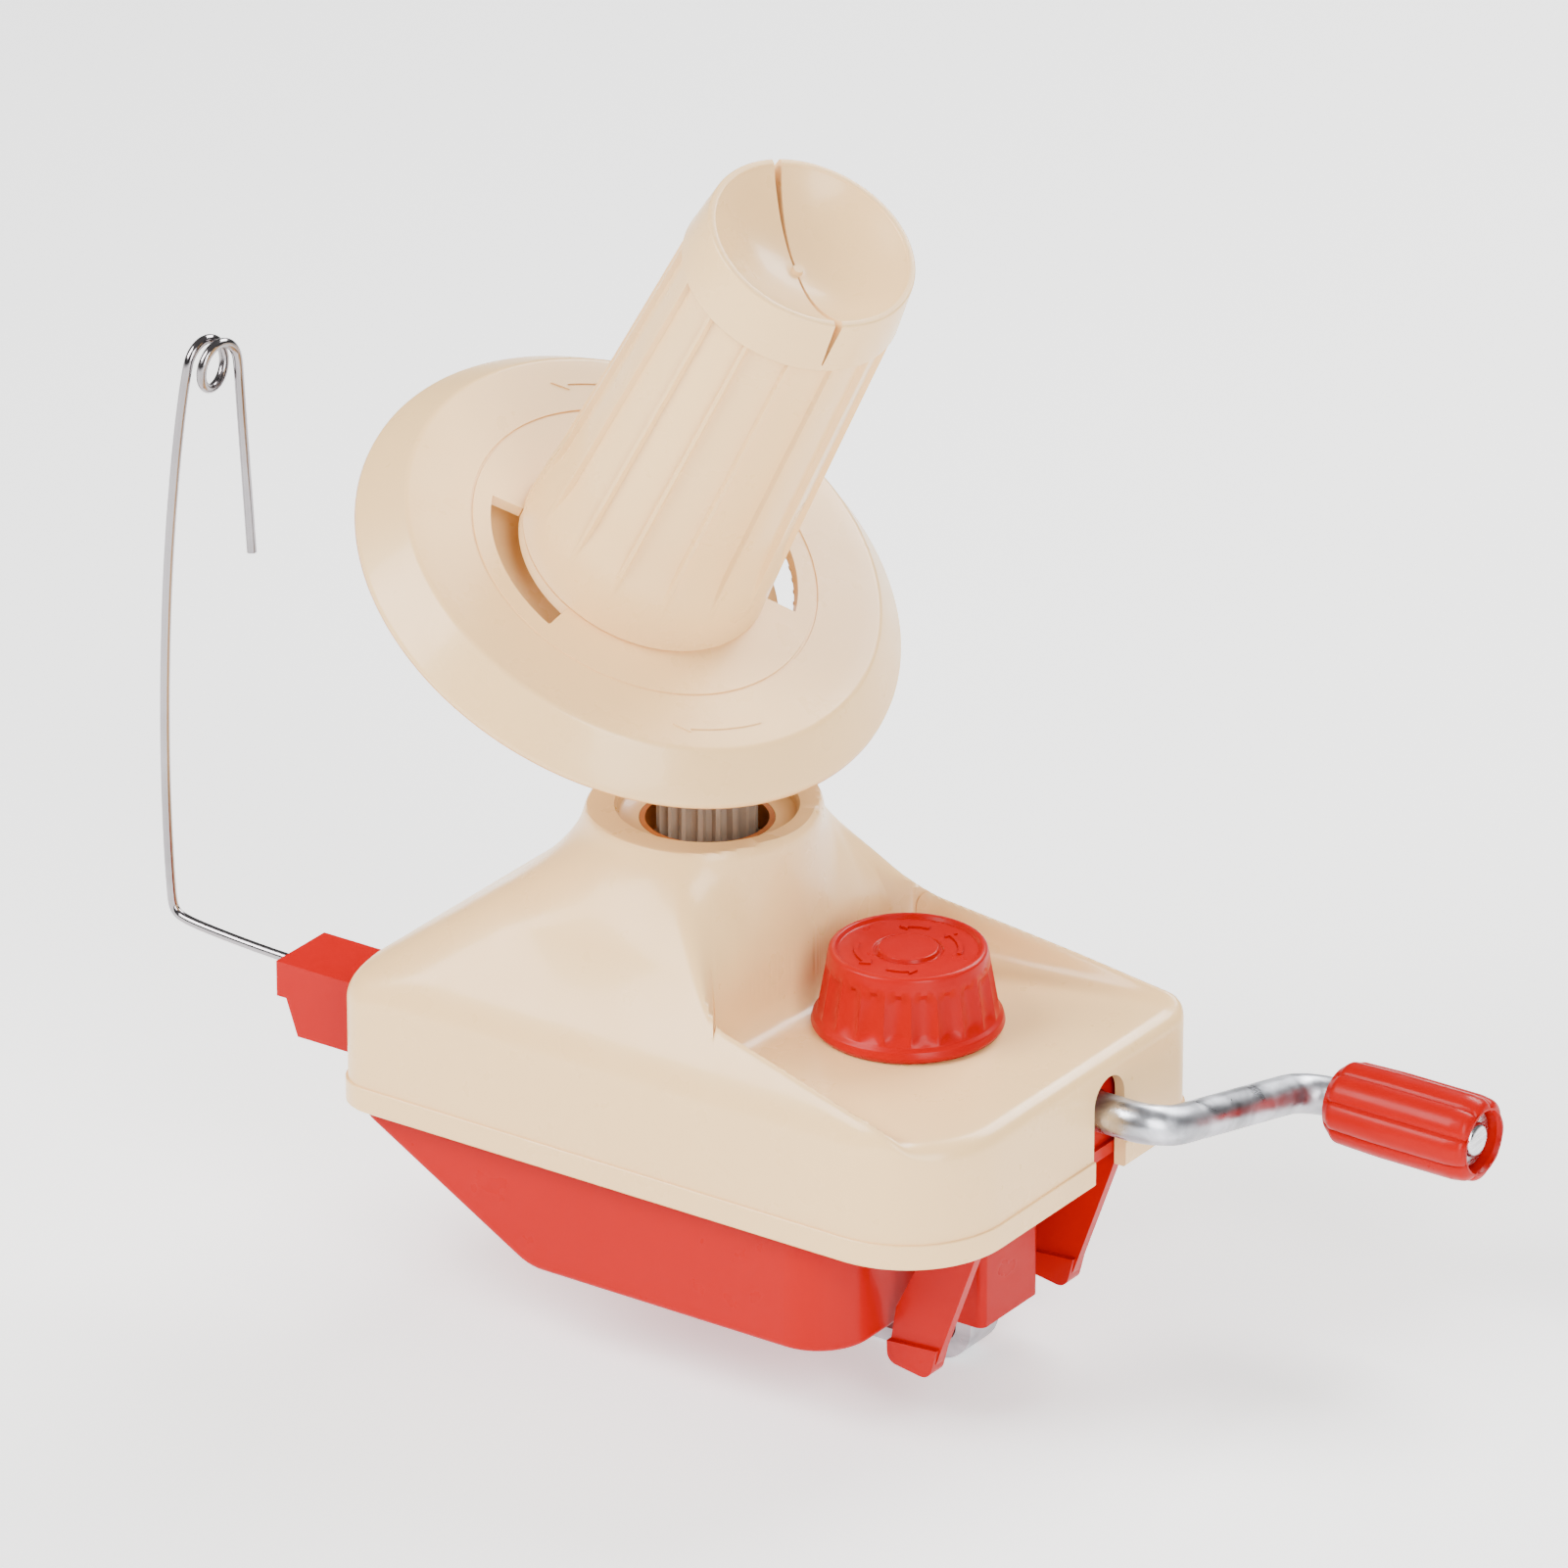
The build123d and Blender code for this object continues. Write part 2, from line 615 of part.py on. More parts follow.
with BuildPart() as winding_disc:
    with BuildSketch(bobbin_side):
        with BuildLine():
            Line((hub_radius + 0.1, disc_under_s), (hub_radius + 0.1, face_s))
            Line((hub_radius + 0.1, face_s), (disc_face_radius, face_s))
            ThreePointArc(
                (disc_face_radius, face_s),
                (disc_face_radius + 4.9, face_s - 4.0),
                (disc_radius, face_s - disc_drop),
            )
            Line((disc_radius, face_s - disc_drop), (disc_radius - wall, face_s - disc_drop))
            ThreePointArc(
                (disc_radius - wall, face_s - disc_drop),
                (disc_face_radius + 3.0, face_s - 5.6),
                (disc_face_radius - 1, disc_under_s),
            )
            Line((disc_face_radius - 1, disc_under_s), (hub_radius + 0.1, disc_under_s))
        make_face()
    revolve(axis=bobbin_axis)
    # shallow groove round the windows
    with BuildSketch(bobbin_level(face_s - 0.3)):
        Circle(36.1)
        Circle(35.5, mode=Mode.SUBTRACT)
    extrude(amount=1, mode=Mode.SUBTRACT)
    # two arc-shaped windows
    reach = 2 * window_outer
    spread = reach * tan(radians(window_half_angle))
    for turn in (window_turn, window_turn + 180):
        with BuildSketch(bobbin_level(face_s - 5, turn)):
            Circle(window_outer)
            Circle(window_inner, mode=Mode.SUBTRACT)
            Polygon((0, 0), (reach, -spread), (reach, spread), align=None, mode=Mode.INTERSECT)
        extrude(amount=10, mode=Mode.SUBTRACT)
save(winding_disc.part, "winding_disc")

panel_depth = 0.9               # how far the panels lie below the rib tops
with BuildPart() as spool:
    with BuildSketch(bobbin_side):
        Polygon(
            (hub_radius, face_s),
            (spool_base_radius - 0.8, face_s),
            (spool_base_radius, face_s + 0.8),
            (spool_base_radius - 0.5, face_s + 8),
            (spool_base_radius - 0.6 - panel_depth, face_s + 12),
            (spool_neck_radius - panel_depth, collar_s),
            (spool_neck_radius - 3.4, collar_s),
            (spool_base_radius - 4.0, face_s + wall),
            (hub_radius, face_s + wall),
            (hub_radius, hub_top_s),
            (6, hub_top_s),
            (6, disc_under_s),
            (hub_radius, disc_under_s),
            align=None,
        )
    revolve(axis=bobbin_axis)
    for i in range(rib_count):
        rib_x = low_axis.rotate(Axis((0, 0, 0), up_axis), i * 360 / rib_count + rib_turn)
        with BuildSketch(Plane(origin=apex, x_dir=rib_x, z_dir=rib_x.cross(up_axis))):
            Polygon(
                (spool_base_radius - 3, face_s + 8),
                (spool_base_radius - 0.7, face_s + 10),
                (spool_neck_radius, collar_s),
                (spool_neck_radius - 2.5, collar_s),
                align=None,
            )
        extrude(amount=0.5, both=True)
save(spool.part, "spool")

# dished cap of the spool, split across so that it holds the yarn end
with BuildPart() as spool_cap:
    with BuildSketch(bobbin_side):
        with BuildLine():
            Polyline(
                (spool_neck_radius - 3.4, collar_s),
                (spool_neck_radius + 0.3, collar_s),
                (spool_rim_radius, spool_top_s - 0.6),
                (spool_rim_radius - 0.6, spool_top_s),
                (spool_rim_radius - 1.6, spool_top_s),
            )
            ThreePointArc(
                (spool_rim_radius - 1.6, spool_top_s),
                (11, spool_top_s - 6.4),
                (0, spool_top_s - dish_depth),
            )
            Polyline(
                (0, spool_top_s - dish_depth),
                (0, spool_top_s - dish_depth - wall),
                (14, collar_s),
                (spool_neck_radius - 3.4, collar_s),
            )
        make_face()
    revolve(axis=bobbin_axis)
    with BuildSketch(bobbin_level(collar_s + 1.5, slot_turn)):
        Polygon((1.2, 0), (30, -1.4), (30, 1.4), align=None)
        Polygon((-1.2, 0), (-30, 1.4), (-30, -1.4), align=None)
    extrude(amount=20, mode=Mode.SUBTRACT)
save(spool_cap.part, "spool_cap")

with BuildPart() as bobbin_bush:
    with BuildSketch(bobbin_level(disc_under_s)):
        Circle(6)
        Circle(spindle_radius + fit, mode=Mode.SUBTRACT)
    extrude(amount=hub_top_s - disc_under_s)
save(bobbin_bush.part, "bobbin_bush")

# ================================================================ crank
arm_dir = Vector(0, cos(radians(crank_droop)), -sin(radians(crank_droop)))
shaft_end = Vector(inner_post_x - 6, crank_y, crank_z)
corner_1 = Vector(arm_x, crank_y, crank_z)
corner_2 = corner_1 + arm_dir * crank_radius
rod_end = corner_2 + Vector(grip_end - 3.5 - arm_x, 0, 0)
with BuildPart() as crank_rod:
    with BuildLine():
        FilletPolyline(shaft_end, corner_1, corner_2, rod_end, radius=rod_bend)
    with BuildSketch(Plane(origin=shaft_end, z_dir=(1, 0, 0))):
        Circle(rod_radius)
    sweep()
    with BuildSketch(Plane.YZ.offset(inner_post_x - 5)):
        with Locations((crank_y, crank_z)):
            Circle(rod_radius + 1)
            Circle(rod_radius - groove_depth, mode=Mode.SUBTRACT)
    extrude(amount=clip_thick, mode=Mode.SUBTRACT)
    with BuildSketch(Plane(origin=rod_end, z_dir=(-1, 0, 0))):
        Circle(1.6)
    extrude(amount=12, mode=Mode.SUBTRACT)
save(crank_rod.part, "crank_rod")

with BuildPart() as crank_clip:
    with BuildSketch(Plane.YZ.offset(inner_post_x - 5)):
        with Locations((crank_y, crank_z)):
            Circle(clip_radius)
            Circle(rod_radius - groove_depth, mode=Mode.SUBTRACT)
    extrude(amount=clip_thick)
save(crank_clip.part, "crank_clip")

for name, middle, length in (("crank_inner_bush", inner_post_x, 5), ("crank_outer_bush", outer_post_x, 7)):
    with BuildPart() as crank_bush:
        with BuildSketch(Plane.YZ.offset(middle - length / 2)):
            with Locations((crank_y, crank_z)):
                Circle(bush_radius)
                Circle(rod_radius + fit, mode=Mode.SUBTRACT)
        extrude(amount=length - bush_skin)
    save(crank_bush.part, name)

grip_plane = Plane(origin=(0, corner_2.Y, corner_2.Z), x_dir=(0, 1, 0), z_dir=(1, 0, 0))
lobe_count = 8
with BuildPart() as crank_grip:
    with BuildSketch(grip_plane.offset(grip_start)):
        Circle(grip_radius - 0.9)
        with PolarLocations(grip_radius - 2.2, lobe_count):
            Circle(2.2)
    extrude(amount=grip_end - grip_start)
    with BuildSketch(grip_plane.offset(grip_start)):
        Circle(rod_radius + fit)
    extrude(amount=grip_end - grip_start, mode=Mode.SUBTRACT)
    with BuildSketch(grip_plane.offset(grip_end - grip_recess)):
        Circle(grip_recess_radius)
    extrude(amount=10, mode=Mode.SUBTRACT)
save(crank_grip.part, "crank_grip")

with BuildPart() as grip_washer:
    with BuildSketch(grip_plane.offset(grip_end - 3.5)):
        Circle(5.6)
        Circle(1.6, mode=Mode.SUBTRACT)
    extrude(amount=0.8)
save(grip_washer.part, "grip_washer")

with BuildPart() as grip_screw:
    with BuildSketch(grip_plane.offset(grip_end - 12)):
        Circle(1.55)
    extrude(amount=9.3)
    with BuildSketch(grip_plane.offset(grip_end - 2.7)):
        Circle(3.6)
    extrude(amount=1.6)
    fillet(grip_screw.edges().sort_by(Axis.X)[-1], 1.2)
save(grip_screw.part, "grip_screw")

# ================================================================ table clamp
with BuildPart() as clamp_knob:
    with BuildSketch(Plane.XZ.offset(-knob_y)):
        with Locations((knob_x, 0)):
            Polygon(
                (0, deck_z + gap),
                (knob_radius - 0.4, deck_z + gap),
                (knob_radius, deck_z + 1.2),
                (knob_radius - 0.3, deck_z + 2.6),
                (knob_radius - 1.4, deck_z + 3.2),
                (15.8, knob_top_z - 1.2),
                (14.8, knob_top_z),
                (13.6, knob_top_z),
                (13.2, knob_top_z - 0.8),
                (6.2, knob_top_z - 0.8),
                (5.6, knob_top_z - 0.2),
                (0, knob_top_z - 0.2),
                align=None,
            )
    revolve(axis=Axis((knob_x, knob_y, 0), (0, 0, 1)))
    with BuildSketch(Plane.XY.offset(deck_z + 3.4)):
        with Locations((knob_x, knob_y)):
            with PolarLocations(knob_radius, flute_count):
                Circle(2.0)
    extrude(amount=knob_top_z - 3 - deck_z - 3.4, mode=Mode.SUBTRACT)
    with BuildSketch(Plane.XY.offset(deck_z)):
        with Locations((knob_x, knob_y)):
            Circle(screw_radius)
    extrude(amount=knob_top_z - 4 - deck_z, mode=Mode.SUBTRACT)
save(clamp_knob.part, "clamp_knob")

clip_z = deck_z - wall - gap - 1.0
with BuildPart() as clamp_screw:
    with BuildSketch(Plane.XY.offset(3.4)):
        with Locations((knob_x, knob_y)):
            Circle(screw_radius)
    extrude(amount=knob_top_z - 4 - 3.4)
    with BuildSketch(Plane.XY.offset(clip_z)):
        with Locations((knob_x, knob_y)):
            Circle(screw_radius + 1)
            Circle(screw_radius - 0.7, mode=Mode.SUBTRACT)
    extrude(amount=1, mode=Mode.SUBTRACT)
    chamfer(clamp_screw.edges().sort_by(Axis.Z)[0], 0.6)
save(clamp_screw.part, "clamp_screw")

with BuildPart() as screw_clip:
    with BuildSketch(Plane.XY.offset(clip_z)):
        with Locations((knob_x, knob_y)):
            Circle(5.5)
            Circle(screw_radius - 0.7, mode=Mode.SUBTRACT)
    extrude(amount=1)
save(screw_clip.part, "screw_clip")

with BuildPart() as clamp_hook:
    with BuildLine():
        FilletPolyline(
            (knob_x - 5.4, knob_y, arm_z),
            (leg_x, knob_y, arm_z),
            (leg_x, knob_y, jaw_z),
            (jaw_end_x, knob_y, jaw_z),
            radius=strap_bend,
        )
    with BuildSketch(Plane(origin=(knob_x - 5.4, knob_y, arm_z), x_dir=(0, 1, 0), z_dir=(1, 0, 0))):
        Rectangle(strap_width, strap_thick)
    sweep()
    with BuildSketch(Plane.XY.offset(arm_z - 5)):
        with Locations((knob_x, knob_y)):
            Circle(screw_radius + 0.4)
    extrude(amount=10, mode=Mode.SUBTRACT)
save(clamp_hook.part, "clamp_hook")

with BuildPart() as clamp_nut:
    with BuildSketch(Plane.XY.offset(arm_z + strap_thick / 2)):
        with Locations((knob_x, knob_y)):
            Rectangle(strap_width, strap_width)
            Circle(screw_radius + fit, mode=Mode.SUBTRACT)
    extrude(amount=6)
save(clamp_nut.part, "clamp_nut")

with BuildPart() as jaw_pad:
    pad_x0, pad_x1 = jaw_end_x + 1, leg_x - strap_bend - 0.6
    with Locations(((pad_x0 + pad_x1) / 2, knob_y, jaw_z + strap_thick / 2 + pad_thick / 2)):
        Box(pad_x1 - pad_x0, strap_width + 2, pad_thick)
    fillet(jaw_pad.edges().filter_by(Axis.Z), 2)
save(jaw_pad.part, "jaw_pad")

guide_right, guide_bottom, guide_half = 69.0, -5.4, 9.9
with BuildPart() as clamp_guide:
    length = guide_right - tub_right
    with Locations(((tub_right + guide_right) / 2, knob_y, (guide_bottom + shelf_z) / 2)):
        Box(length, 2 * guide_half, shelf_z - guide_bottom)
    fillet(clamp_guide.edges().filter_by(Axis.Z).group_by(Axis.X)[-1], 1.6)
    with Locations((leg_x, knob_y, 10)):
        Box(slot_depth, 2 * slot_half, 60, mode=Mode.SUBTRACT)
    # room for the inside of the hook's upper bend at the end of its travel
    bend_low_z = arm_z - hook_travel - strap_bend - gap
    with Locations((tub_right, knob_y, bend_low_z + 20)):
        Box(2 * (leg_x - tub_right), 2 * slot_half, 40, mode=Mode.SUBTRACT)
save(clamp_guide.part, "clamp_guide")

# ================================================================ yarn guide
block_left, block_right = -79.0, body_left
with BuildPart() as guide_holder:
    with BuildSketch(Plane.XZ.offset(-guide_y)):
        Polygon(
            (block_right - band_proud, 46.5),
            (block_left, 46.5),
            (block_left, 38.9),
            (-76.7, 38.9),
            (-74.0, 31.2),
            (block_right - band_proud, 31.2),
            align=None,
        )
    extrude(amount=8, both=True)
    with Locations((body_left + 1, guide_y, 38.8)):
        Box(4, 9.6, 8.6)
    with BuildSketch(Plane.YZ.offset(block_left)):
        with Locations((guide_y, guide_z)):
            Circle(wire_radius + fit)
    extrude(amount=14, mode=Mode.SUBTRACT)
save(guide_holder.part, "guide_holder")

# the upright ends in a curl of one and a half turns, from which a free leg hangs down
curl_radius, curl_x, curl_travel = 4.9, -103.7, 5.1
curl_z = wire_top_z - curl_radius
free_x, free_y = curl_x + curl_travel, guide_y + 2 * curl_radius
with BuildPart() as guide_wire:
    with BuildLine():
        FilletPolyline(
            (block_left + 12, guide_y, guide_z),
            (block_left - 6, guide_y, guide_z),
            (wire_x + 1, guide_y, guide_z + 1.5),
            (wire_x - 1.5, guide_y, 80),
            (wire_x + 1.5, guide_y, 128),
            (curl_x, guide_y, curl_z - 5),
            (curl_x, guide_y, curl_z),
            radius=[20, 3, 60, 60, 30],
        )
        ThreePointArc(
            (curl_x, guide_y, curl_z),
            (curl_x + curl_travel / 2, guide_y + curl_radius, wire_top_z),
            (free_x, free_y, curl_z),
        )
        FilletPolyline(
            (free_x, free_y, curl_z),
            (free_x, free_y, curl_z - 5),
            (free_x + 2.6, free_y, wire_end_z),
            radius=60,
        )
    with BuildSketch(Plane(origin=(block_left + 12, guide_y, guide_z), z_dir=(-1, 0, 0))):
        Circle(wire_radius)
    sweep()
    # the full turn of the curl, as a ring that meets the top of the bend
    with BuildSketch(Plane.XY.offset(curl_z)):
        with Locations((curl_x + curl_travel / 2, guide_y)):
            Circle(wire_radius)
    revolve(axis=Axis((0, guide_y + curl_radius, curl_z), (1, 0, 0)))
save(guide_wire.part, "guide_wire")
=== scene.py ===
import json
import math

import bmesh
import bpy
import numpy as np
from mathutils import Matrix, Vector


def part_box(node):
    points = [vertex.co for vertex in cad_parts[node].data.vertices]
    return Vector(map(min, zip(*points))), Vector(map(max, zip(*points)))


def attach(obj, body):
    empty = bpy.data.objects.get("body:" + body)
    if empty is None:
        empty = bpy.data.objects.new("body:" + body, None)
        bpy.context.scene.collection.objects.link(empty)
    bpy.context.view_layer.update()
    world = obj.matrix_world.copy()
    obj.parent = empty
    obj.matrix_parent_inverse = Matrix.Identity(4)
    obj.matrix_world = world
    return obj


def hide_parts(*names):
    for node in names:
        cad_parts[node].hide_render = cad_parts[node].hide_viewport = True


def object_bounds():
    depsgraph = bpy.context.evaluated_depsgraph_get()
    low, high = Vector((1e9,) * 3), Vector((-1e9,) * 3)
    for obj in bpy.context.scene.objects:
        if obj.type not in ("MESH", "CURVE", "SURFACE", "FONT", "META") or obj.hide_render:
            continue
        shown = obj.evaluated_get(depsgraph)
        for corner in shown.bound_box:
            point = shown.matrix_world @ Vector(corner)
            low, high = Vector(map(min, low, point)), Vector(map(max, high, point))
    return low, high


# Looks of a hand-cranked ball winder. Shapes are worked out in millimetres and turned into metres
# when a mesh is made. The origin is the middle of the neck, on the seat face.

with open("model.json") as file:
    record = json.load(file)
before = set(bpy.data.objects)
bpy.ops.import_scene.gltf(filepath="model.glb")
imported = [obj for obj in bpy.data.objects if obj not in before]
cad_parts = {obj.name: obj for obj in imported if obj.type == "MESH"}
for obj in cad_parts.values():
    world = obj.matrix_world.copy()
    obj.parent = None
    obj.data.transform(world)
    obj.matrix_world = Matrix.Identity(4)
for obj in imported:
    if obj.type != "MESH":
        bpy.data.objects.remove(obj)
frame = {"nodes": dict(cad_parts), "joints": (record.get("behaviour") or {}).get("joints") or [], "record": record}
nodes = frame["nodes"]
cad_low, cad_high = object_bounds()
MM = 0.001

# ---------------------------------------------------------------- camera and light
VIEW_AZIMUTH, VIEW_ELEVATION = math.radians(34.66), math.radians(24.75)
VIEW_DISTANCE = 2.616
VIEW_WIDTH = 0.3097                 # width of the view at the aim point
SENSOR_WIDTH = 36.0
AIM = Vector((-0.00225, 0.02968, 0.08023))
LIGHT_AIM = Vector((0, 0, 0.08))
FLOOR_HALF, FLOOR_GAP = 12.0, 0.0005


def add_camera():
    """Long lens that looks down on the clamp's side from the right."""
    view = Vector((
        math.sin(VIEW_AZIMUTH) * math.cos(VIEW_ELEVATION),
        -math.cos(VIEW_AZIMUTH) * math.cos(VIEW_ELEVATION),
        math.sin(VIEW_ELEVATION),
    ))
    data = bpy.data.cameras.new("camera")
    data.sensor_width = SENSOR_WIDTH
    data.lens = SENSOR_WIDTH * VIEW_DISTANCE / VIEW_WIDTH
    data.clip_end = 20
    camera = bpy.data.objects.new("camera", data)
    camera.location = AIM + view * VIEW_DISTANCE
    camera.rotation_euler = view.to_track_quat("Z", "Y").to_euler()
    bpy.context.scene.collection.objects.link(camera)
    bpy.context.scene.camera = camera


def add_area(name, place, size, power):
    """Soft rectangular light, turned to the object."""
    data = bpy.data.lights.new(name, "AREA")
    data.shape = "RECTANGLE"
    data.size, data.size_y = size
    data.energy = power
    light = bpy.data.objects.new(name, data)
    light.location = place
    light.rotation_euler = (Vector(place) - LIGHT_AIM).to_track_quat("Z", "Y").to_euler()
    bpy.context.scene.collection.objects.link(light)


def add_studio():
    """Sky that brightens upwards, three soft lights and a wide pale floor."""
    world = bpy.data.worlds.new("studio")
    world.use_nodes = True
    links, make = world.node_tree.links, world.node_tree.nodes.new
    direction = make("ShaderNodeTexCoord").outputs["Generated"]
    split = make("ShaderNodeSeparateXYZ")
    links.new(direction, split.inputs["Vector"])
    shade_up = make("ShaderNodeMapRange")
    shade_up.inputs["From Min"].default_value = -0.1
    shade_up.inputs["From Max"].default_value = 0.75
    shade_up.inputs["To Min"].default_value = 0.06
    shade_up.inputs["To Max"].default_value = 0.22
    links.new(split.outputs["Z"], shade_up.inputs["Value"])
    background = world.node_tree.nodes["Background"]
    background.inputs["Color"].default_value = (1, 1, 1, 1)
    links.new(shade_up.outputs["Result"], background.inputs["Strength"])
    bpy.context.scene.world = world
    add_area("key", (-0.55, -0.75, 0.95), (0.8, 0.8), 34.0)
    add_area("fill", (0.95, -0.6, 0.55), (0.5, 0.9), 19.0)
    add_area("rim", (0.1, 0.95, 0.9), (0.9, 0.5), 27.0)
    floor_mesh = bpy.data.meshes.new("floor")
    corners = [
        (x * FLOOR_HALF, y * FLOOR_HALF, cad_low.z - FLOOR_GAP)
        for x, y in ((-1, -1), (1, -1), (1, 1), (-1, 1))
    ]
    floor_mesh.from_pydata(corners, [], [(0, 1, 2, 3)])
    floor = bpy.data.objects.new("floor", floor_mesh)
    bpy.context.scene.collection.objects.link(floor)
    floor.data.materials.append(floor_material())


# ---------------------------------------------------------------- materials
class Recipe:
    """A node material with a Principled shader and short helpers for its texture nodes."""

    def __init__(self, name, colour, roughness, metallic=0.0):
        self.material = bpy.data.materials.new(name)
        self.material.use_nodes = True
        self.tree = self.material.node_tree
        self.shader = self.tree.nodes["Principled BSDF"]
        self.shader.inputs["Base Color"].default_value = (*colour, 1)
        self.shader.inputs["Roughness"].default_value = roughness
        self.shader.inputs["Metallic"].default_value = metallic
        self.place = self.tree.nodes.new("ShaderNodeTexCoord").outputs["Object"]

    def noise(self, scale, detail=3.0, distortion=0.0, stretch=None):
        node = self.tree.nodes.new("ShaderNodeTexNoise")
        node.inputs["Scale"].default_value = scale
        node.inputs["Detail"].default_value = detail
        node.inputs["Distortion"].default_value = distortion
        source = self.place
        if stretch:
            mapping = self.tree.nodes.new("ShaderNodeMapping")
            mapping.inputs["Scale"].default_value = stretch
            self.tree.links.new(source, mapping.inputs["Vector"])
            source = mapping.outputs["Vector"]
        self.tree.links.new(source, node.inputs["Vector"])
        return node.outputs["Fac"]

    def ramp(self, source, low, high, start=0.35, end=0.65):
        node = self.tree.nodes.new("ShaderNodeMapRange")
        node.inputs["From Min"].default_value = start
        node.inputs["From Max"].default_value = end
        node.inputs["To Min"].default_value = low
        node.inputs["To Max"].default_value = high
        self.tree.links.new(source, node.inputs["Value"])
        return node.outputs["Result"]

    def tint(self, source, dark, light):
        node = self.tree.nodes.new("ShaderNodeMix")
        node.data_type = "RGBA"
        node.inputs["A"].default_value = (*dark, 1)
        node.inputs["B"].default_value = (*light, 1)
        self.tree.links.new(source, node.inputs["Factor"])
        self.tree.links.new(node.outputs["Result"], self.shader.inputs["Base Color"])

    def rough(self, source, low, high):
        self.tree.links.new(self.ramp(source, low, high), self.shader.inputs["Roughness"])

    def bump(self, source, depth, strength=1.0, previous=None):
        node = self.tree.nodes.new("ShaderNodeBump")
        node.inputs["Distance"].default_value = depth
        node.inputs["Strength"].default_value = strength
        self.tree.links.new(source, node.inputs["Height"])
        if previous:
            self.tree.links.new(previous, node.inputs["Normal"])
        self.tree.links.new(node.outputs["Normal"], self.shader.inputs["Normal"])
        return node.outputs["Normal"]


def scaled(colour, factor):
    return tuple(min(1.0, c * factor) for c in colour)


def moulded(name, colour, roughness, coat, gloss):
    """Moulded plastic: faint flow marks in the colour, orange peel, fine scuffs in the gloss."""
    made = Recipe(name, colour, roughness)
    flow = made.noise(14, 4, 0.6)
    made.tint(made.ramp(flow, 0, 1, 0.3, 0.7), scaled(colour, 0.985), scaled(colour, 1.015))
    made.rough(made.noise(90, 5), roughness * 0.85, roughness * 1.2)
    peel = made.bump(made.noise(320, 2), 0.00003, 0.5)
    made.bump(made.noise(38, 2), 0.0001, 0.15, peel)
    made.shader.inputs["Specular IOR Level"].default_value = gloss
    made.shader.inputs["Coat Weight"].default_value = coat
    made.shader.inputs["Coat Roughness"].default_value = 0.08
    return made.material


def acetal(name, colour):
    """Matt gear plastic with fine grain and darker grease in places."""
    made = Recipe(name, colour, 0.5)
    made.tint(made.ramp(made.noise(60, 5), 0, 1), scaled(colour, 0.75), scaled(colour, 1.12))
    made.rough(made.noise(160, 3), 0.38, 0.6)
    made.bump(made.noise(500, 3), 0.00004, 0.6)
    return made.material


def plated(name, colour, mottled):
    """Zinc or nickel plate. Mottled plate has soft spangles, pits and dull patches."""
    made = Recipe(name, colour, 0.24, 1.0)
    if mottled:
        patch_scale, darkest, smoothest, roughest, pit_depth = 70, 0.62, 0.26, 0.5, 0.00022
    else:
        patch_scale, darkest, smoothest, roughest, pit_depth = 25, 0.85, 0.1, 0.2, 0.00003
    patches = made.ramp(made.noise(patch_scale, 6, 1.2), 0, 1, 0.38, 0.66)
    made.tint(patches, scaled(colour, darkest), scaled(colour, 1.2))
    made.rough(made.noise(120, 4, 0.5), smoothest, roughest)
    fine = made.bump(made.noise(700, 3), 0.00002, 0.5)
    made.bump(made.noise(130, 5, 0.8), pit_depth, 0.7, fine)
    return made.material


def turned(name, colour):
    """Turned steel with fine marks."""
    made = Recipe(name, colour, 0.25, 1.0)
    marks = made.ramp(made.noise(220, 3, 0, (1, 1, 14)), 0, 1)
    made.tint(marks, scaled(colour, 0.8), scaled(colour, 1.1))
    made.rough(made.noise(260, 3, 0, (1, 1, 10)), 0.18, 0.36)
    made.bump(made.noise(420, 2, 0, (1, 1, 18)), 0.00002, 0.7)
    return made.material


def rubber(name, colour):
    """Dull rubber with a coarse, uneven face."""
    made = Recipe(name, colour, 0.7)
    made.tint(made.ramp(made.noise(90, 5), 0, 1), scaled(colour, 0.7), scaled(colour, 1.4))
    made.rough(made.noise(120, 4), 0.55, 0.8)
    made.bump(made.noise(600, 4), 0.00008, 0.8)
    return made.material


def floor_material():
    """Pale sheet that glows a little, so that it stays light away from the lamps."""
    made = Recipe("pale_floor", (0.9, 0.9, 0.89), 0.6)
    made.tint(made.ramp(made.noise(3, 3), 0, 1), (0.885, 0.885, 0.88), (0.905, 0.905, 0.9))
    made.bump(made.noise(120, 3), 0.0002, 0.2)
    made.shader.inputs["Emission Color"].default_value = (1, 1, 1, 1)
    made.shader.inputs["Emission Strength"].default_value = 0.8
    return made.material


CREAM = (0.86, 0.55, 0.245)
RED = (0.37, 0.0, 0.0)
finish = {
    "beige": moulded("cream_plastic", CREAM, 0.3, 0.15, 0.4),
    "red": moulded("red_plastic", RED, 0.32, 0.05, 0.1),
    "grey_gear": acetal("grey_acetal", (0.3, 0.225, 0.165)),
    "tan_gear": acetal("tan_acetal", (0.5, 0.33, 0.19)),
    "nylon": acetal("nylon", (0.72, 0.68, 0.58)),
    # the orange finish is painted shade: a darker, warmer cream that stands for the cream inner wall deep in the
    # neck's hole as it looks in shade
    "orange": acetal("painted_shade_orange", (0.42, 0.12, 0.015)),
    "steel": turned("turned_steel", (0.62, 0.62, 0.64)),
    "zinc": plated("zinc_plate", (0.52, 0.53, 0.57), True),
    "wire": plated("nickel_plate", (0.3, 0.28, 0.29), False),
    "pad": rubber("maroon_rubber", (0.1, 0.012, 0.012)),
}


def paint_nodes():
    """Gives every CAD node the finish of its material slot."""
    for entry in frame["record"]["subparts"]:
        piece = nodes[entry["node"]]
        piece.data.materials.clear()
        piece.data.materials.append(finish[entry["material_slot"]])


# ---------------------------------------------------------------- mesh helpers
def node_box(node):
    """Lowest and highest corner of a CAD node, in millimetres."""
    low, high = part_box(node)
    return low / MM, high / MM


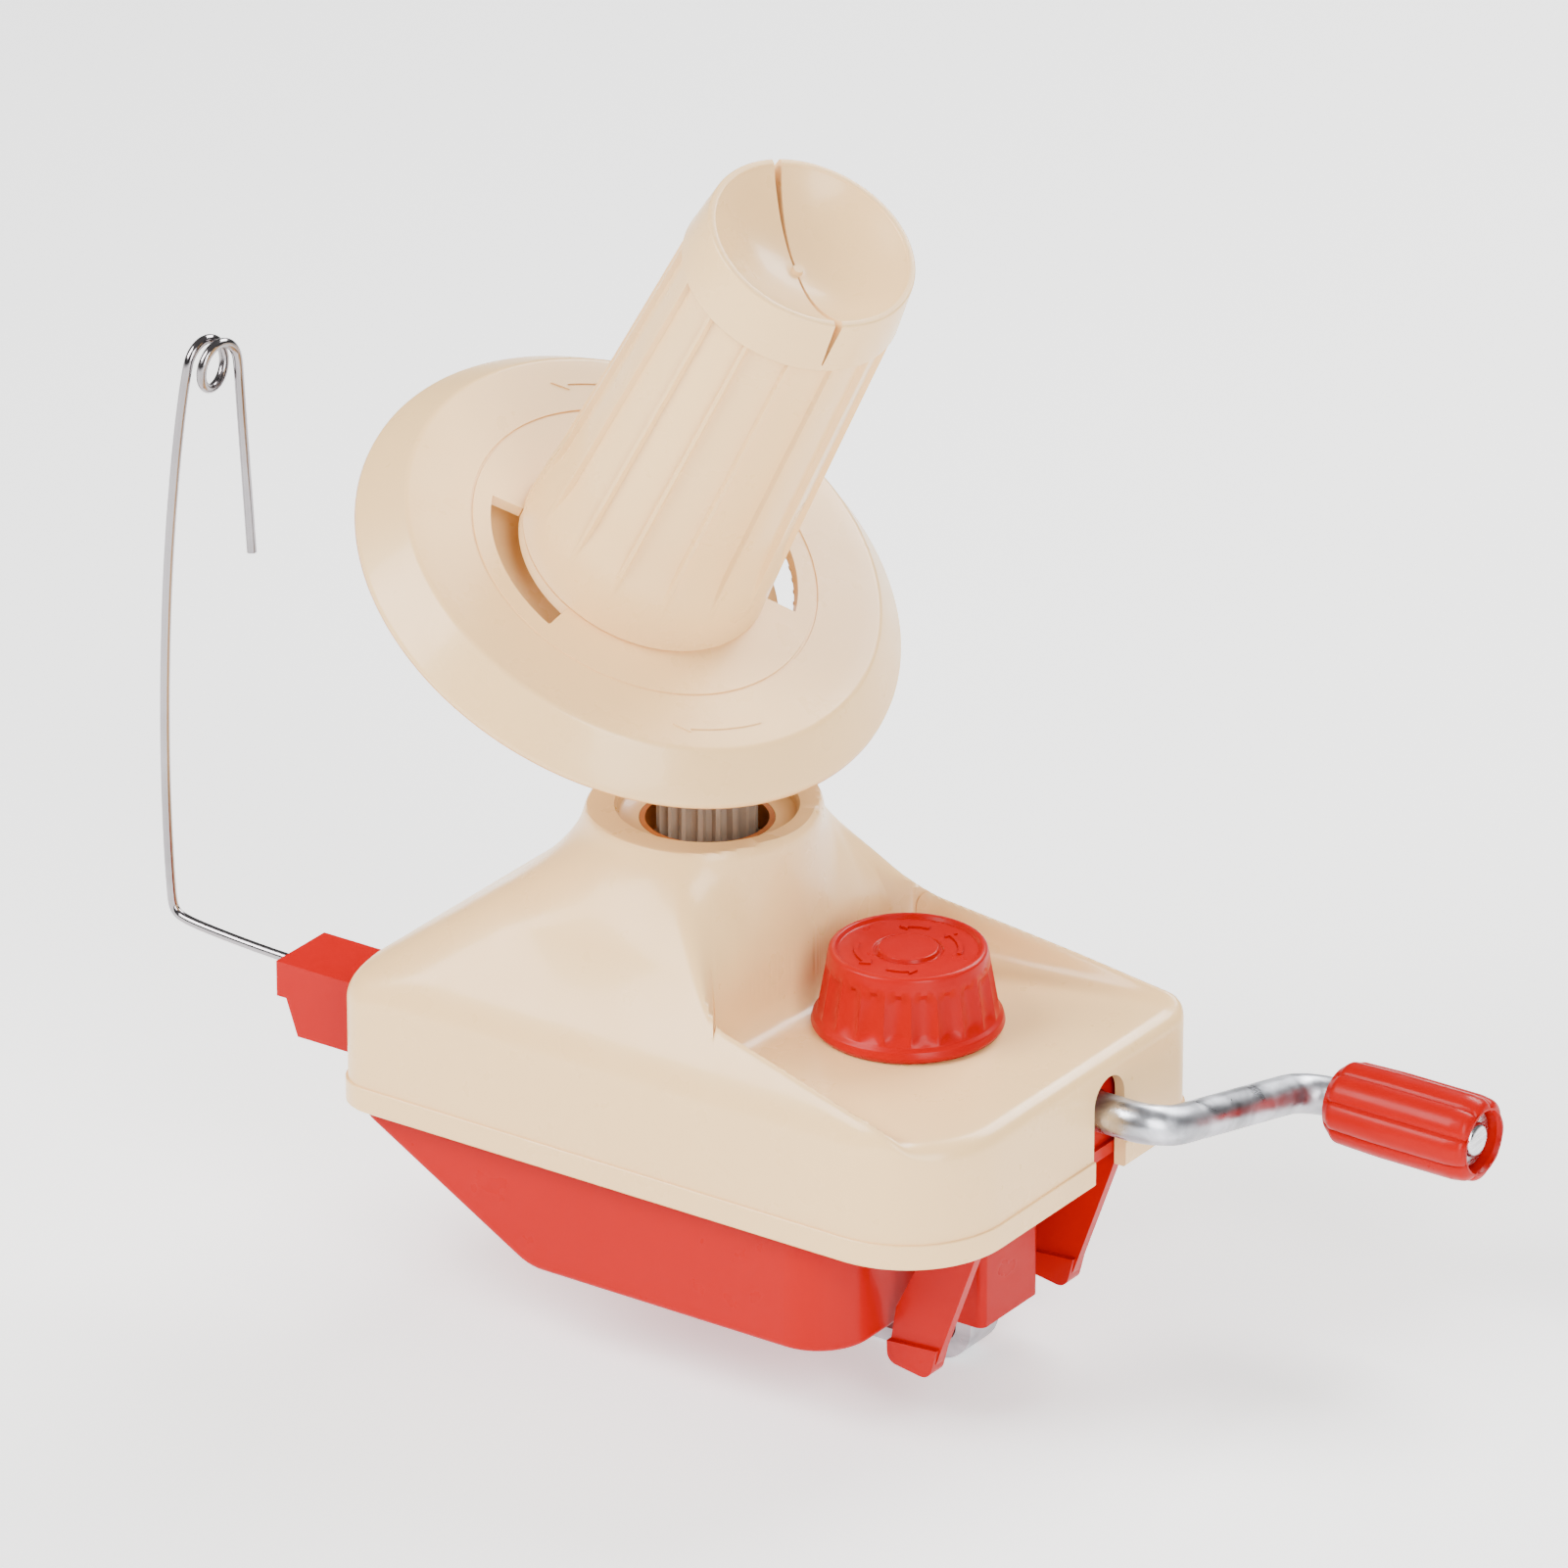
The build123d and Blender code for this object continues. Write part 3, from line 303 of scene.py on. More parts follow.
def joint_row(name):
    return next(row for row in frame["joints"] if row["name"] == name)


class Axes:
    """A turning axis with two directions across it; angles run from the first to the second."""

    def __init__(self, origin, first, along):
        self.origin = np.array(origin, float)
        self.along = np.array(along, float) / np.linalg.norm(along)
        first = np.array(first, float)
        first = first - self.along * (first @ self.along)
        self.first = first / np.linalg.norm(first)
        self.second = np.cross(self.along, self.first)

    def point(self, radius, angle, level):
        """Points at these radii, angles (radians) and levels; arrays give arrays."""
        radius, angle, level = np.broadcast_arrays(radius, angle, level)
        return (
            self.origin
            + (radius * np.cos(angle))[..., None] * self.first
            + (radius * np.sin(angle))[..., None] * self.second
            + level[..., None] * self.along
        )


def rounded(corners, steps=6):
    """Outline through corners (a, b) or (a, b, radius); a corner with a radius gets an arc."""
    path = []
    count = len(corners)
    for i, corner in enumerate(corners):
        here = np.array(corner[:2], float)
        radius = corner[2] if len(corner) > 2 else 0
        if not radius:
            path.append(here)
            continue
        back = np.array(corners[i - 1][:2], float) - here
        ahead = np.array(corners[(i + 1) % count][:2], float) - here
        back, ahead = back / np.linalg.norm(back), ahead / np.linalg.norm(ahead)
        half = math.acos(np.clip(back @ ahead, -1, 1)) / 2
        middle = here + (back + ahead) / np.linalg.norm(back + ahead) * radius / math.sin(half)
        start = here + back * radius / math.tan(half) - middle
        end = here + ahead * radius / math.tan(half) - middle
        sweep = math.pi - 2 * half
        for k in range(steps + 1):
            done = k / steps * sweep
            spoke = start * math.sin(sweep - done) + end * math.sin(done)
            path.append(middle + spoke / math.sin(sweep))
    return np.array(path)


def spaced(path, step):
    """The same open path with points added so that no run is longer than step."""
    points = [path[0]]
    for a, b in zip(path[:-1], path[1:]):
        parts = max(1, math.ceil(np.linalg.norm(b - a) / step))
        points += [a + (b - a) * (k + 1) / parts for k in range(parts)]
    return np.array(points)


def smooth_step(low, high, value):
    t = np.clip((value - low) / (high - low), 0, 1)
    return t * t * (3 - 2 * t)


def make_mesh(name, vertices, faces, sharp_angle=32):
    """Object from millimetre points, normals outward, edges sharper than the angle kept crisp."""
    mesh = bpy.data.meshes.new(name)
    mesh.from_pydata([tuple(v * MM) for v in np.asarray(vertices, float)], [], faces)
    work = bmesh.new()
    work.from_mesh(mesh)
    bmesh.ops.remove_doubles(work, verts=work.verts, dist=2e-6)
    bmesh.ops.dissolve_degenerate(work, edges=work.edges, dist=1e-7)
    bmesh.ops.recalc_face_normals(work, faces=work.faces)
    work.to_mesh(mesh)
    work.free()
    shade(mesh, sharp_angle)
    made = bpy.data.objects.new(name, mesh)
    bpy.context.scene.collection.objects.link(made)
    return made


def shade(mesh, sharp_angle):
    mesh.shade_smooth()
    mesh.set_sharp_from_angle(angle=math.radians(sharp_angle))


def skin(name, rings, sharp_angle=32):
    """Closed surface through rings of equal length; both directions run round to their start."""
    rings = np.asarray(rings, float)
    rows, columns = rings.shape[:2]
    faces = []
    for i in range(rows):
        for j in range(columns):
            k, m = (i + 1) % rows, (j + 1) % columns
            faces.append((i * columns + j, i * columns + m, k * columns + m, k * columns + j))
    return make_mesh(name, rings.reshape(-1, 3), faces, sharp_angle)


def turned_piece(name, outline, axes, angles, shape=None, sharp_angle=32):
    """Outline of (radius, level) points turned round axes; shape may vary them with the angle."""
    outline = np.asarray(outline, float)
    radius, level = outline[:, 0][:, None], outline[:, 1][:, None]
    angle = np.asarray(angles, float)[None, :]
    radius, level = radius + 0 * angle, level + 0 * angle
    if shape:
        radius, level = shape(radius, angle + 0 * radius, level)
    return skin(name, axes.point(radius, angle, level), sharp_angle)


def full_turn(count):
    return np.arange(count) * 2 * math.pi / count


def prism(name, outline, place, depth_low, depth_high):
    """Solid between two copies of a flat outline; place(a, b, depth) gives the points."""
    count = len(outline)
    points = [place(a, b, depth) for depth in (depth_low, depth_high) for a, b in outline]
    faces = [tuple(range(count)), tuple(range(2 * count - 1, count - 1, -1))]
    faces += [(i, (i + 1) % count, count + (i + 1) % count, count + i) for i in range(count)]
    return make_mesh(name, points, faces)


def combine(piece, others, operation, sharp_angle=32):
    """Cuts the other solids out of piece, or unites them with it, and removes them."""
    for other in others:
        change = piece.modifiers.new("solid", "BOOLEAN")
        change.operation = operation
        change.solver = "EXACT"
        change.object = other
    graph = bpy.context.evaluated_depsgraph_get()
    result = bpy.data.meshes.new_from_object(piece.evaluated_get(graph))
    piece.modifiers.clear()
    old, piece.data = piece.data, result
    result.name = piece.name
    bpy.data.meshes.remove(old)
    for other in others:
        bpy.data.meshes.remove(other.data)
    shade(result, sharp_angle)


def finish_piece(piece, body, slot, *stands_for):
    """Gives a piece the finish of its slot, puts it on its body and hides the nodes it stands for."""
    piece.data.materials.clear()
    piece.data.materials.append(finish[slot])
    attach(piece, body)
    if stands_for:
        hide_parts(*stands_for)


# ---------------------------------------------------------------- upper housing
housing_low, housing_high = node_box("upper_housing")
BAND = 0.5                                    # how far the lower band stands proud
body_left, body_right = housing_low.x + BAND, housing_high.x - BAND
body_half = housing_high.y - BAND
skirt_z, mouth_z = housing_low.z, housing_high.z
band_z, rim_z, deck_z = skirt_z + 5.3, skirt_z + 27.0, skirt_z + 25.7
WALL = 2.2
# plan radius of each corner, by sign of x and y
CORNERS = {(-1, -1): 8.0, (-1, 1): 8.0, (1, -1): 22.0, (1, 1): 5.5}
SIDE_SLOPE, LEFT_SLOPE = 1.375, 0.733         # rise of the hill's flanks and of its left end
HILL_TOP = skirt_z + 51.5                     # where the flanks would meet, rounded off below it
NECK, NECK_TAPER, MOUTH, HOLE = 22.6, 0.05, 17.8, 13.4
MOUTH_STEP = 2.9                              # how deep the ledge in the mouth lies
RIM_ROUND, FLANK_ROUND, NECK_FLARE = 3.5, 10.0, 19.0
POCKET_LEFT, POCKET_HALF, POCKET_SLOPE, POCKET_ROUND = 22.4, 35.3, 0.139, 8.0
DECK_FILLET = 6.0
RIDGE_ROUND, WALL_ROUND = 3.0, 11.0           # on the pocket's long edges, and added at its wall
CRANK_SLOT_HALF, CRANK_SLOT_RISE, SCREW_HOLE = 5.3, 8.1, 3.3
SEAT_HALF, SEAT_LOW, SEAT_HIGH = 5.0, 34.3, 43.3
rod_low, rod_high = node_box("crank_outer_bush")
crank_y, crank_z = (rod_low.y + rod_high.y) / 2, (rod_low.z + rod_high.z) / 2
knob_low, knob_high = node_box("clamp_knob")
knob_x, knob_y = (knob_low.x + knob_high.x) / 2, (knob_low.y + knob_high.y) / 2
guide_low, guide_high = node_box("guide_holder")


def soft_max(a, b, width):
    """Larger of two fields, with the edge between them rounded over the width."""
    overlap = np.maximum(width - np.abs(a - b), 0) / width
    return np.maximum(a, b) + overlap * overlap * width / 4


def soft_min(a, b, width):
    return -soft_max(-a, -b, width)


def housing_field(x, y, z):
    """Below zero inside the housing's outer form, and close to the distance from it."""
    side = (z - rim_z - SIDE_SLOPE * (body_half - np.abs(y))) * math.cos(math.atan(SIDE_SLOPE))
    left = (z - rim_z - LEFT_SLOPE * (x - body_left)) * math.cos(math.atan(LEFT_SLOPE))
    hill = soft_max(soft_max(side, left, FLANK_ROUND), z - HILL_TOP, 8)
    across = np.hypot(x, y)
    neck = soft_max(across - NECK - (mouth_z - z) * NECK_TAPER, z - mouth_z, 3)
    hill = soft_min(hill, neck, NECK_FLARE)
    edge_x = POCKET_LEFT - x
    edge_y = np.abs(y) - POCKET_HALF - POCKET_SLOPE * (x - POCKET_LEFT)
    edge_y = edge_y * math.cos(math.atan(POCKET_SLOPE))
    round_x, round_y = edge_x + POCKET_ROUND, edge_y + POCKET_ROUND
    pocket = np.hypot(np.maximum(round_x, 0), np.maximum(round_y, 0)) - POCKET_ROUND
    pocket = pocket + np.minimum(np.maximum(round_x, round_y), 0)
    kept = soft_min(-pocket, z - deck_z, DECK_FILLET)
    edge_round = RIDGE_ROUND + WALL_ROUND * (1 - smooth_step(22, 38, np.abs(y)))
    body = soft_max(hill, kept, edge_round)
    core = soft_max(across - NECK + 0.6, z - mouth_z, 3)
    return soft_min(body, core, 4)


def edge_distance(x, y):
    """How far a point lies inside the plan of the housing."""
    middle = (body_left + body_right) / 2
    radius = np.zeros_like(x)
    for (sign_x, sign_y), value in CORNERS.items():
        radius = np.where(((x - middle) * sign_x >= 0) & (y * sign_y >= 0), value, radius)
    dx = np.abs(x - middle) - (body_right - body_left) / 2 + radius
    dy = np.abs(y) - body_half + radius
    return radius - np.hypot(np.maximum(dx, 0), np.maximum(dy, 0)) - np.minimum(np.maximum(dx, dy), 0)


def roof_height(x, y, inset=0.0):
    """Height of the roof over a point, or with an inset the height of the ceiling under it."""
    low, high = np.full_like(x, deck_z - 12), np.full_like(x, mouth_z + 4)
    for _ in range(30):
        middle = (low + high) / 2
        inside = housing_field(x, y, middle) + inset < 0
        low, high = np.where(inside, middle, low), np.where(inside, high, middle)
    near = np.clip(RIM_ROUND - edge_distance(x, y), 0, RIM_ROUND)
    return low - RIM_ROUND + np.sqrt(RIM_ROUND ** 2 - near ** 2)


def plan_outline(step):
    """Even points round the housing's plan, with the outward direction at each."""
    corners = [(x, y, CORNERS[x, y]) for x, y in ((-1, -1), (1, -1), (1, 1), (-1, 1))]
    middle, half_x = (body_left + body_right) / 2, (body_right - body_left) / 2
    points, outward = [], []
    for i, (sign_x, sign_y, radius) in enumerate(corners):
        centre = np.array([middle + sign_x * (half_x - radius), sign_y * (body_half - radius)])
        start = math.pi + i * math.pi / 2
        arc_steps = max(6, math.ceil(radius * math.pi / 2 / step))
        for k in range(arc_steps + 1):
            angle = start + k / arc_steps * math.pi / 2
            direction = np.array([math.cos(angle), math.sin(angle)])
            points.append(centre + radius * direction)
            outward.append(direction)
        next_x, next_y, next_radius = corners[(i + 1) % 4]
        next_centre = np.array([
            middle + next_x * (half_x - next_radius),
            next_y * (body_half - next_radius),
        ])
        run = next_centre + next_radius * direction - points[-1]
        run_steps = math.ceil(np.linalg.norm(run) / step)
        for k in range(1, run_steps):
            points.append(points[-1] + run / run_steps)
            outward.append(direction)
    return np.array(points), np.array(outward)


def roof_lines(ends, start_radius, count, inset):
    """Lines over the roof from a circle round the neck to each end, evenly spaced along it."""
    reach = np.linalg.norm(ends, axis=1)
    direction = ends / reach[:, None]
    share = np.linspace(0, 1, 5 * count)
    radius = start_radius + (reach - start_radius)[:, None] * share[None, :]
    x, y = radius * direction[:, :1], radius * direction[:, 1:]
    height = np.minimum(roof_height(x, y, inset), mouth_z - 1.6 * inset)
    lines = np.zeros((len(ends), count, 3))
    for i in range(len(ends)):
        pieces = np.hypot(np.diff(radius[i]), np.diff(height[i]))
        length = np.concatenate(([0], np.cumsum(pieces)))
        wanted = np.linspace(0, length[-1], count)
        along = np.interp(wanted, length, radius[i])
        lines[i, :, 0], lines[i, :, 1] = along * direction[i, 0], along * direction[i, 1]
        lines[i, :, 2] = np.interp(wanted, length, height[i])
    return lines


def make_upper_housing():
    """Cream shell: roof, walls, band and ceiling as rings that run out over it and back inside."""
    ends, outward = plan_outline(1.2)
    outer = roof_lines(ends, NECK - 1.5, 110, 0)
    inner_ends = ends - WALL * outward
    inner = roof_lines(inner_ends, HOLE, 36, WALL)[:, ::-1]
    angle = np.arctan2(ends[:, 1], ends[:, 0])

    def at_edge(offset, z):
        spot = ends + offset * outward
        return np.column_stack((spot, np.full(len(ends), z)))

    def at_mouth(radius, z):
        level = np.full(len(ends), z)
        return np.column_stack((radius * np.cos(angle), radius * np.sin(angle), level))

    wall_top = outer[:, -1, 2]
    rings = list(np.swapaxes(outer, 0, 1))
    for share in np.linspace(0, 1, 7)[1:]:
        ring = at_edge(0, band_z)
        ring[:, 2] = wall_top + (band_z - wall_top) * share
        rings.append(ring)
    rings += [
        at_edge(BAND - 0.15, band_z),
        at_edge(BAND, band_z - 0.15),
        at_edge(BAND, skirt_z + 0.4),
        at_edge(BAND - 0.4, skirt_z),
        at_edge(0.2 - WALL, skirt_z),
        at_edge(-WALL, skirt_z + 0.2),
    ]
    rings += list(np.swapaxes(inner, 0, 1))
    rings += [
        at_mouth(HOLE, mouth_z - MOUTH_STEP),
        at_mouth(MOUTH - 1.0, mouth_z - 2.4),
        at_mouth(MOUTH - 0.4, mouth_z - 1.9),
        at_mouth(MOUTH - 0.1, mouth_z - 0.5),
        at_mouth(MOUTH + 0.4, mouth_z),
    ]
    housing = skin("upper_shell", rings)

    slot_round_z = crank_z + CRANK_SLOT_RISE - CRANK_SLOT_HALF
    slot = [(-CRANK_SLOT_HALF, skirt_z - 2), (CRANK_SLOT_HALF, skirt_z - 2)]
    slot += [
        (CRANK_SLOT_HALF * math.cos(a), slot_round_z + CRANK_SLOT_HALF * math.sin(a))
        for a in np.linspace(0, math.pi, 25)
    ]
    crank_slot = prism(
        "crank_slot", slot, lambda a, b, depth: (body_right + depth, crank_y + a, b), -8, 4
    )
    screw_axes = Axes((knob_x, knob_y, 0), (1, 0, 0), (0, 0, 1))
    screw_low, screw_high = deck_z - 8, deck_z + 4
    screw_outline = [
        (0, screw_low), (SCREW_HOLE, screw_low), (SCREW_HOLE, screw_high), (0, screw_high)
    ]
    screw_hole = turned_piece("screw_hole", screw_outline, screw_axes, full_turn(32))
    seat_y = (guide_low.y + guide_high.y) / 2
    seat_corners = ((-1, SEAT_LOW), (1, SEAT_LOW), (1, SEAT_HIGH), (-1, SEAT_HIGH))
    seat = prism(
        "guide_seat",
        [(side * SEAT_HALF, z) for side, z in seat_corners],
        lambda a, b, depth: (body_left + depth, seat_y + a, b),
        -0.2,
        5,
    )
    combine(housing, [crank_slot, screw_hole, seat], "DIFFERENCE")
    finish_piece(housing, "base", "beige", "upper_housing")


# ---------------------------------------------------------------- bobbin
bobbin_row = joint_row("bobbin_spin")
bobbin_up = Vector(bobbin_row["axis"])
low_side = Vector((0, 0, -1)) + bobbin_up * bobbin_up.z
bobbin = Axes(Vector(bobbin_row["pos_m"]) / MM, low_side, bobbin_up)
# levels are along the bobbin's axis from its pivot, and angles start on its low side
FACE, DISC_TOP_RADIUS, DISC_RADIUS, DISC_DROP = -34.5, 49.3, 57.2, 9.2
DISC_THICK = 2.4
GROOVE_RADIUS, GROOVE_DEPTH = 35.8, 0.3
WINDOW_RADII, WINDOW_ANGLES = (25.3, 31.9), ((40, 104), (-138, -76))
RIBS, FIRST_RIB = 15, 9.0
HUB, BORE, HUB_TOP = 8.5, 6.0, 18.4
COLLAR, SPOOL_TOP = 46.7, 58.5
SPOOL_NECK, SPOOL_FOOT, SPOOL_WALL = 22.0, 25.5, 3.4
CAP_RIM, DISH_DEPTH, NUB = 21.0, 8.7, 1.2


def polar_outline(radii, angles, corner, steps=5):
    """Outline of a ring sector with rounded corners, as flat (x, y) points."""
    inner, outer = radii
    start, end = math.radians(angles[0]), math.radians(angles[1])
    points = []
    for radius, first, last, side in ((outer, start, end, 1), (inner, end, start, -1)):
        way = math.copysign(1, last - first)
        middle_radius = radius - side * corner
        shift = way * corner / middle_radius
        # the arc between the two corners, then the rounding of the second one
        for a in np.linspace(first + shift, last - shift, 30):
            points.append((radius * math.cos(a), radius * math.sin(a)))
        middle = last - shift
        centre_x, centre_y = middle_radius * math.cos(middle), middle_radius * math.sin(middle)
        for k in range(1, steps):
            turn = middle + (0 if side > 0 else math.pi) + way * k / steps * math.pi / 2
            points.append((centre_x + corner * math.cos(turn), centre_y + corner * math.sin(turn)))
    return points


def on_bobbin(a, b, depth):
    """Place of a point given across and along the bobbin's axis."""
    return bobbin.origin + a * bobbin.first + b * bobbin.second + depth * bobbin.along


def make_disc():
    """Winding disc with its groove, two windows and two raised arrows."""
    under = FACE - DISC_THICK
    outline = rounded([
        (HUB + 0.1, under),
        (HUB + 0.1, FACE),
        (GROOVE_RADIUS - 0.3, FACE),
        (GROOVE_RADIUS - 0.2, FACE - GROOVE_DEPTH),
        (GROOVE_RADIUS + 0.2, FACE - GROOVE_DEPTH),
        (GROOVE_RADIUS + 0.3, FACE),
        (DISC_TOP_RADIUS, FACE, 1.8),
        (DISC_RADIUS, FACE - DISC_DROP + 0.5, 1.2),
        (DISC_RADIUS - 0.6, FACE - DISC_DROP, 0.3),
        (DISC_RADIUS - WALL, FACE - DISC_DROP, 0.3),
        (DISC_TOP_RADIUS - 1.2, under, 2.0),
    ])
    outline = spaced(np.vstack((outline, outline[:1])), 4.0)[:-1]
    disc = turned_piece("disc", outline, bobbin, full_turn(192))
    windows = []
    for angles in WINDOW_ANGLES:
        sector = polar_outline(WINDOW_RADII, angles, 0.5)
        windows.append(prism("window", sector, on_bobbin, FACE - 4, FACE + 2))
    combine(disc, windows, "DIFFERENCE")
    arrows = [
        arrow_outline(43.6, -5.3, -30.5, 1.6, 0.8),
        arrow_outline(43.4, 144.0, 169.0, 2.2, 0.9),
    ]
    raised = [prism("arrow", flat, on_bobbin, FACE - 0.4, FACE + 0.25) for flat in arrows]
    combine(disc, raised, "UNION")
    finish_piece(disc, "bobbin", "beige", "winding_disc")


def arrow_outline(radius, tail, tip, head_half, line_half, head_angle=4.5):
    """Curved arrow round an axis from tail to tip, in degrees."""
    sign = math.copysign(1, tip - tail)
    neck = tip - sign * head_angle
    outer = [(radius + line_half, a) for a in np.linspace(tail, neck, 14)]
    inner = [(radius - line_half, a) for a in np.linspace(neck, tail, 14)]
    head = [(radius + head_half, neck), (radius, tip), (radius - head_half, neck)]
    spots = outer + head + inner
    return [(r * math.cos(math.radians(a)), r * math.sin(math.radians(a))) for r, a in spots]


def make_spool():
    """Hub and ribbed, slightly tapered tube of the spool, up to the collar."""
    panel_depth, panel_low, panel_high = 1.1, FACE + 8, FACE + 22
    wide, narrow = 1.7, 0.8            # half angles of a rib at its foot and its top, in degrees
    pitch = 360 / RIBS

    def ribs(radius, angle, level):
        off = (np.degrees(angle) - FIRST_RIB + pitch / 2) % pitch - pitch / 2
        panel = 1 - smooth_step(-wide, -narrow, -np.abs(off))
        outside = smooth_step(19, 20, radius) * (level < COLLAR - 0.05)
        depth = panel_depth * smooth_step(panel_low, panel_high, level) * outside
        return radius - depth * panel, level

    foot, taper_low = SPOOL_FOOT - 0.2, FACE + 4
    outline = [
        (HUB, FACE),
        (SPOOL_FOOT - 0.7, FACE),
        (SPOOL_FOOT, FACE + 0.7),
    ]
    for level in np.linspace(taper_low, COLLAR - 0.1, 60):
        share = (level - taper_low) / (COLLAR - taper_low)
        outline.append((foot - (foot - SPOOL_NECK) * share ** 0.85, level))
    outline += [
        (SPOOL_NECK, COLLAR),
        (SPOOL_NECK - SPOOL_WALL, COLLAR),
        (SPOOL_FOOT - 4.0, FACE + WALL),
        (HUB, FACE + WALL),
        (HUB, HUB_TOP),
        (BORE, HUB_TOP),
        (BORE, FACE - DISC_THICK),
        (HUB, FACE - DISC_THICK),
    ]
    rib_steps = np.linspace(narrow, wide, 4)
    panel_steps = (3.5, 6, 9, 12, 15, 18, 20.5)
    steps = np.concatenate((-rib_steps[::-1], rib_steps, panel_steps))
    angles = np.concatenate([np.radians(FIRST_RIB + i * pitch + steps) for i in range(RIBS)])
    spool = turned_piece("spool_body", outline, bobbin, angles, ribs, 40)
    finish_piece(spool, "bobbin", "beige", "spool")


def make_spool_cap():
    """Dished end of the spool, with a nub in its middle and a slit across it."""
    dish, lip = SPOOL_TOP - DISH_DEPTH, CAP_RIM - 1.5
    outline = list(rounded([
        (SPOOL_NECK - SPOOL_WALL, COLLAR),
        (SPOOL_NECK + 0.1, COLLAR),
        (SPOOL_NECK + 0.3, COLLAR + 0.3, 0.2),
        (CAP_RIM, SPOOL_TOP, 0.5),
        (lip, SPOOL_TOP, 0.4),
    ]))
    for t in np.linspace(0.04, 0.93, 16):
        outline.append((lip * (1 - t), SPOOL_TOP - DISH_DEPTH * math.sin(t * math.pi / 2) ** 0.8))
    outline += [(NUB, dish + 0.1), (NUB - 0.2, dish + 0.9), (0, dish + 0.9)]
    outline += [(0, dish - WALL), (14, COLLAR)]
    cap = turned_piece("spool_cap_body", outline, bobbin, full_turn(120), None, 35)
    slots = []
    slit_low, slit_high = COLLAR + 1.6, SPOOL_TOP + 1
    for turn, width in ((-23.7, 1.7), (162.3, 1.9)):
        direction = math.radians(turn)
        across = np.array([math.cos(direction), math.sin(direction)])
        sideways = np.array([-across[1], across[0]])

        def place(a, b, depth, across=across, sideways=sideways):
            flat = across * depth + sideways * a
            return on_bobbin(flat[0], flat[1], b)

        wedge = [(-0.15, slit_low), (0.15, slit_low), (width / 2, slit_high), (-width / 2, slit_high)]
        slots.append(prism("slot", wedge, place, NUB + 0.2, 30))
    combine(cap, slots, "DIFFERENCE", 35)
    finish_piece(cap, "bobbin", "beige", "spool_cap")


# ---------------------------------------------------------------- clamp knob
def make_knob():
    """Fluted clamp knob with a ring and four arrows on its top."""
    top, bottom = knob_high.z, knob_low.z
    radius = (knob_high.x - knob_low.x) / 2
    axes = Axes((knob_x, knob_y, 0), (1, 0, 0), (0, 0, 1))
    flutes, flute_depth = 20, 1.0

    def fluted(r, angle, level):
        across = (angle * flutes / (2 * math.pi)) % 1 * 2 - 1
        depth = flute_depth * (1 - across ** 2)
        above = smooth_step(bottom + 3.0, bottom + 4.6, level)
        below = 1 - smooth_step(top - 4.2, top - 3.2, level)
        return r - depth * above * below * (r > 15.0), level

    outline = rounded([
        (0, bottom),
        (radius - 0.7, bottom, 0.4),
        (radius, bottom + 1.0, 0.7),
        (radius - 0.4, bottom + 2.4, 0.6),
        (radius - 1.2, bottom + 3.1, 0.5),
        (15.9, top - 2.2, 0.6),
        (15.5, top, 0.9),
        (14.3, top, 0.4),
        (13.7, top - 0.8, 0.3),
        (7.0, top - 0.8, 0.2),
        (6.7, top - 1.1, 0.1),
        (6.2, top - 1.1, 0.1),
        (5.9, top - 0.25, 0.3),
        (3.0, top - 0.35),
        (0, top - 0.4),
    ])
    outline = spaced(outline, 1.2)
    knob = turned_piece("knob_body", outline, axes, full_turn(flutes * 12), fluted, 38)

    def on_knob(a, b, depth):
        return knob_x + a, knob_y + b, depth

    # two long and two short arrows in the ring of the top
    marks = []
    for tail, tip in ((20, 78), (-160, -102), (100, 134), (-80, -46)):
        flat = arrow_outline(10.2, tail, tip, 1.5, 0.45, 9)
        marks.append(prism("mark", flat, on_knob, top - 1.2, top - 0.45))
    combine(knob, marks, "UNION", 38)
    finish_piece(knob, "knob", "red", "clamp_knob")


# ---------------------------------------------------------------- crank grip
def make_grip():
    """Lobed, slightly barrelled crank grip with a recess for its screw."""
    low, high = node_box("crank_grip")
    spin = Vector(joint_row("grip_spin")["pos_m"]) / MM
    axes = Axes((0, spin.y, spin.z), (0, 1, 0), (1, 0, 0))
    outer, bore, recess, recess_depth = 9.0, 4.05, 6.2, 4.5
    lobes, lobe_depth = 8, 0.95

    def lobed(r, angle, level):
        wave = np.abs(np.cos(angle * lobes / 2)) ** 0.55
        return r - lobe_depth * (1 - wave) * (r > recess + 0.8), level

    outline = rounded([
        (bore, low.x),
        (outer - 2.2, low.x, 0.6),
        (outer - 0.35, low.x + 2.2, 2.2),
        (outer, low.x + 12, 20),
        (outer, high.x - 4, 8),
        (outer - 0.6, high.x, 2.2),
        (recess + 0.5, high.x, 0.5),
        (recess, high.x - 1.0, 0.5),
        (recess - 0.2, high.x - recess_depth, 0.4),
        (bore, high.x - recess_depth),
    ], 8)
    outline = spaced(np.vstack((outline, outline[:1])), 1.6)[:-1]
    grip = turned_piece("grip_body", outline, axes, full_turn(lobes * 16), lobed, 40)
    finish_piece(grip, "grip", "red", "crank_grip")


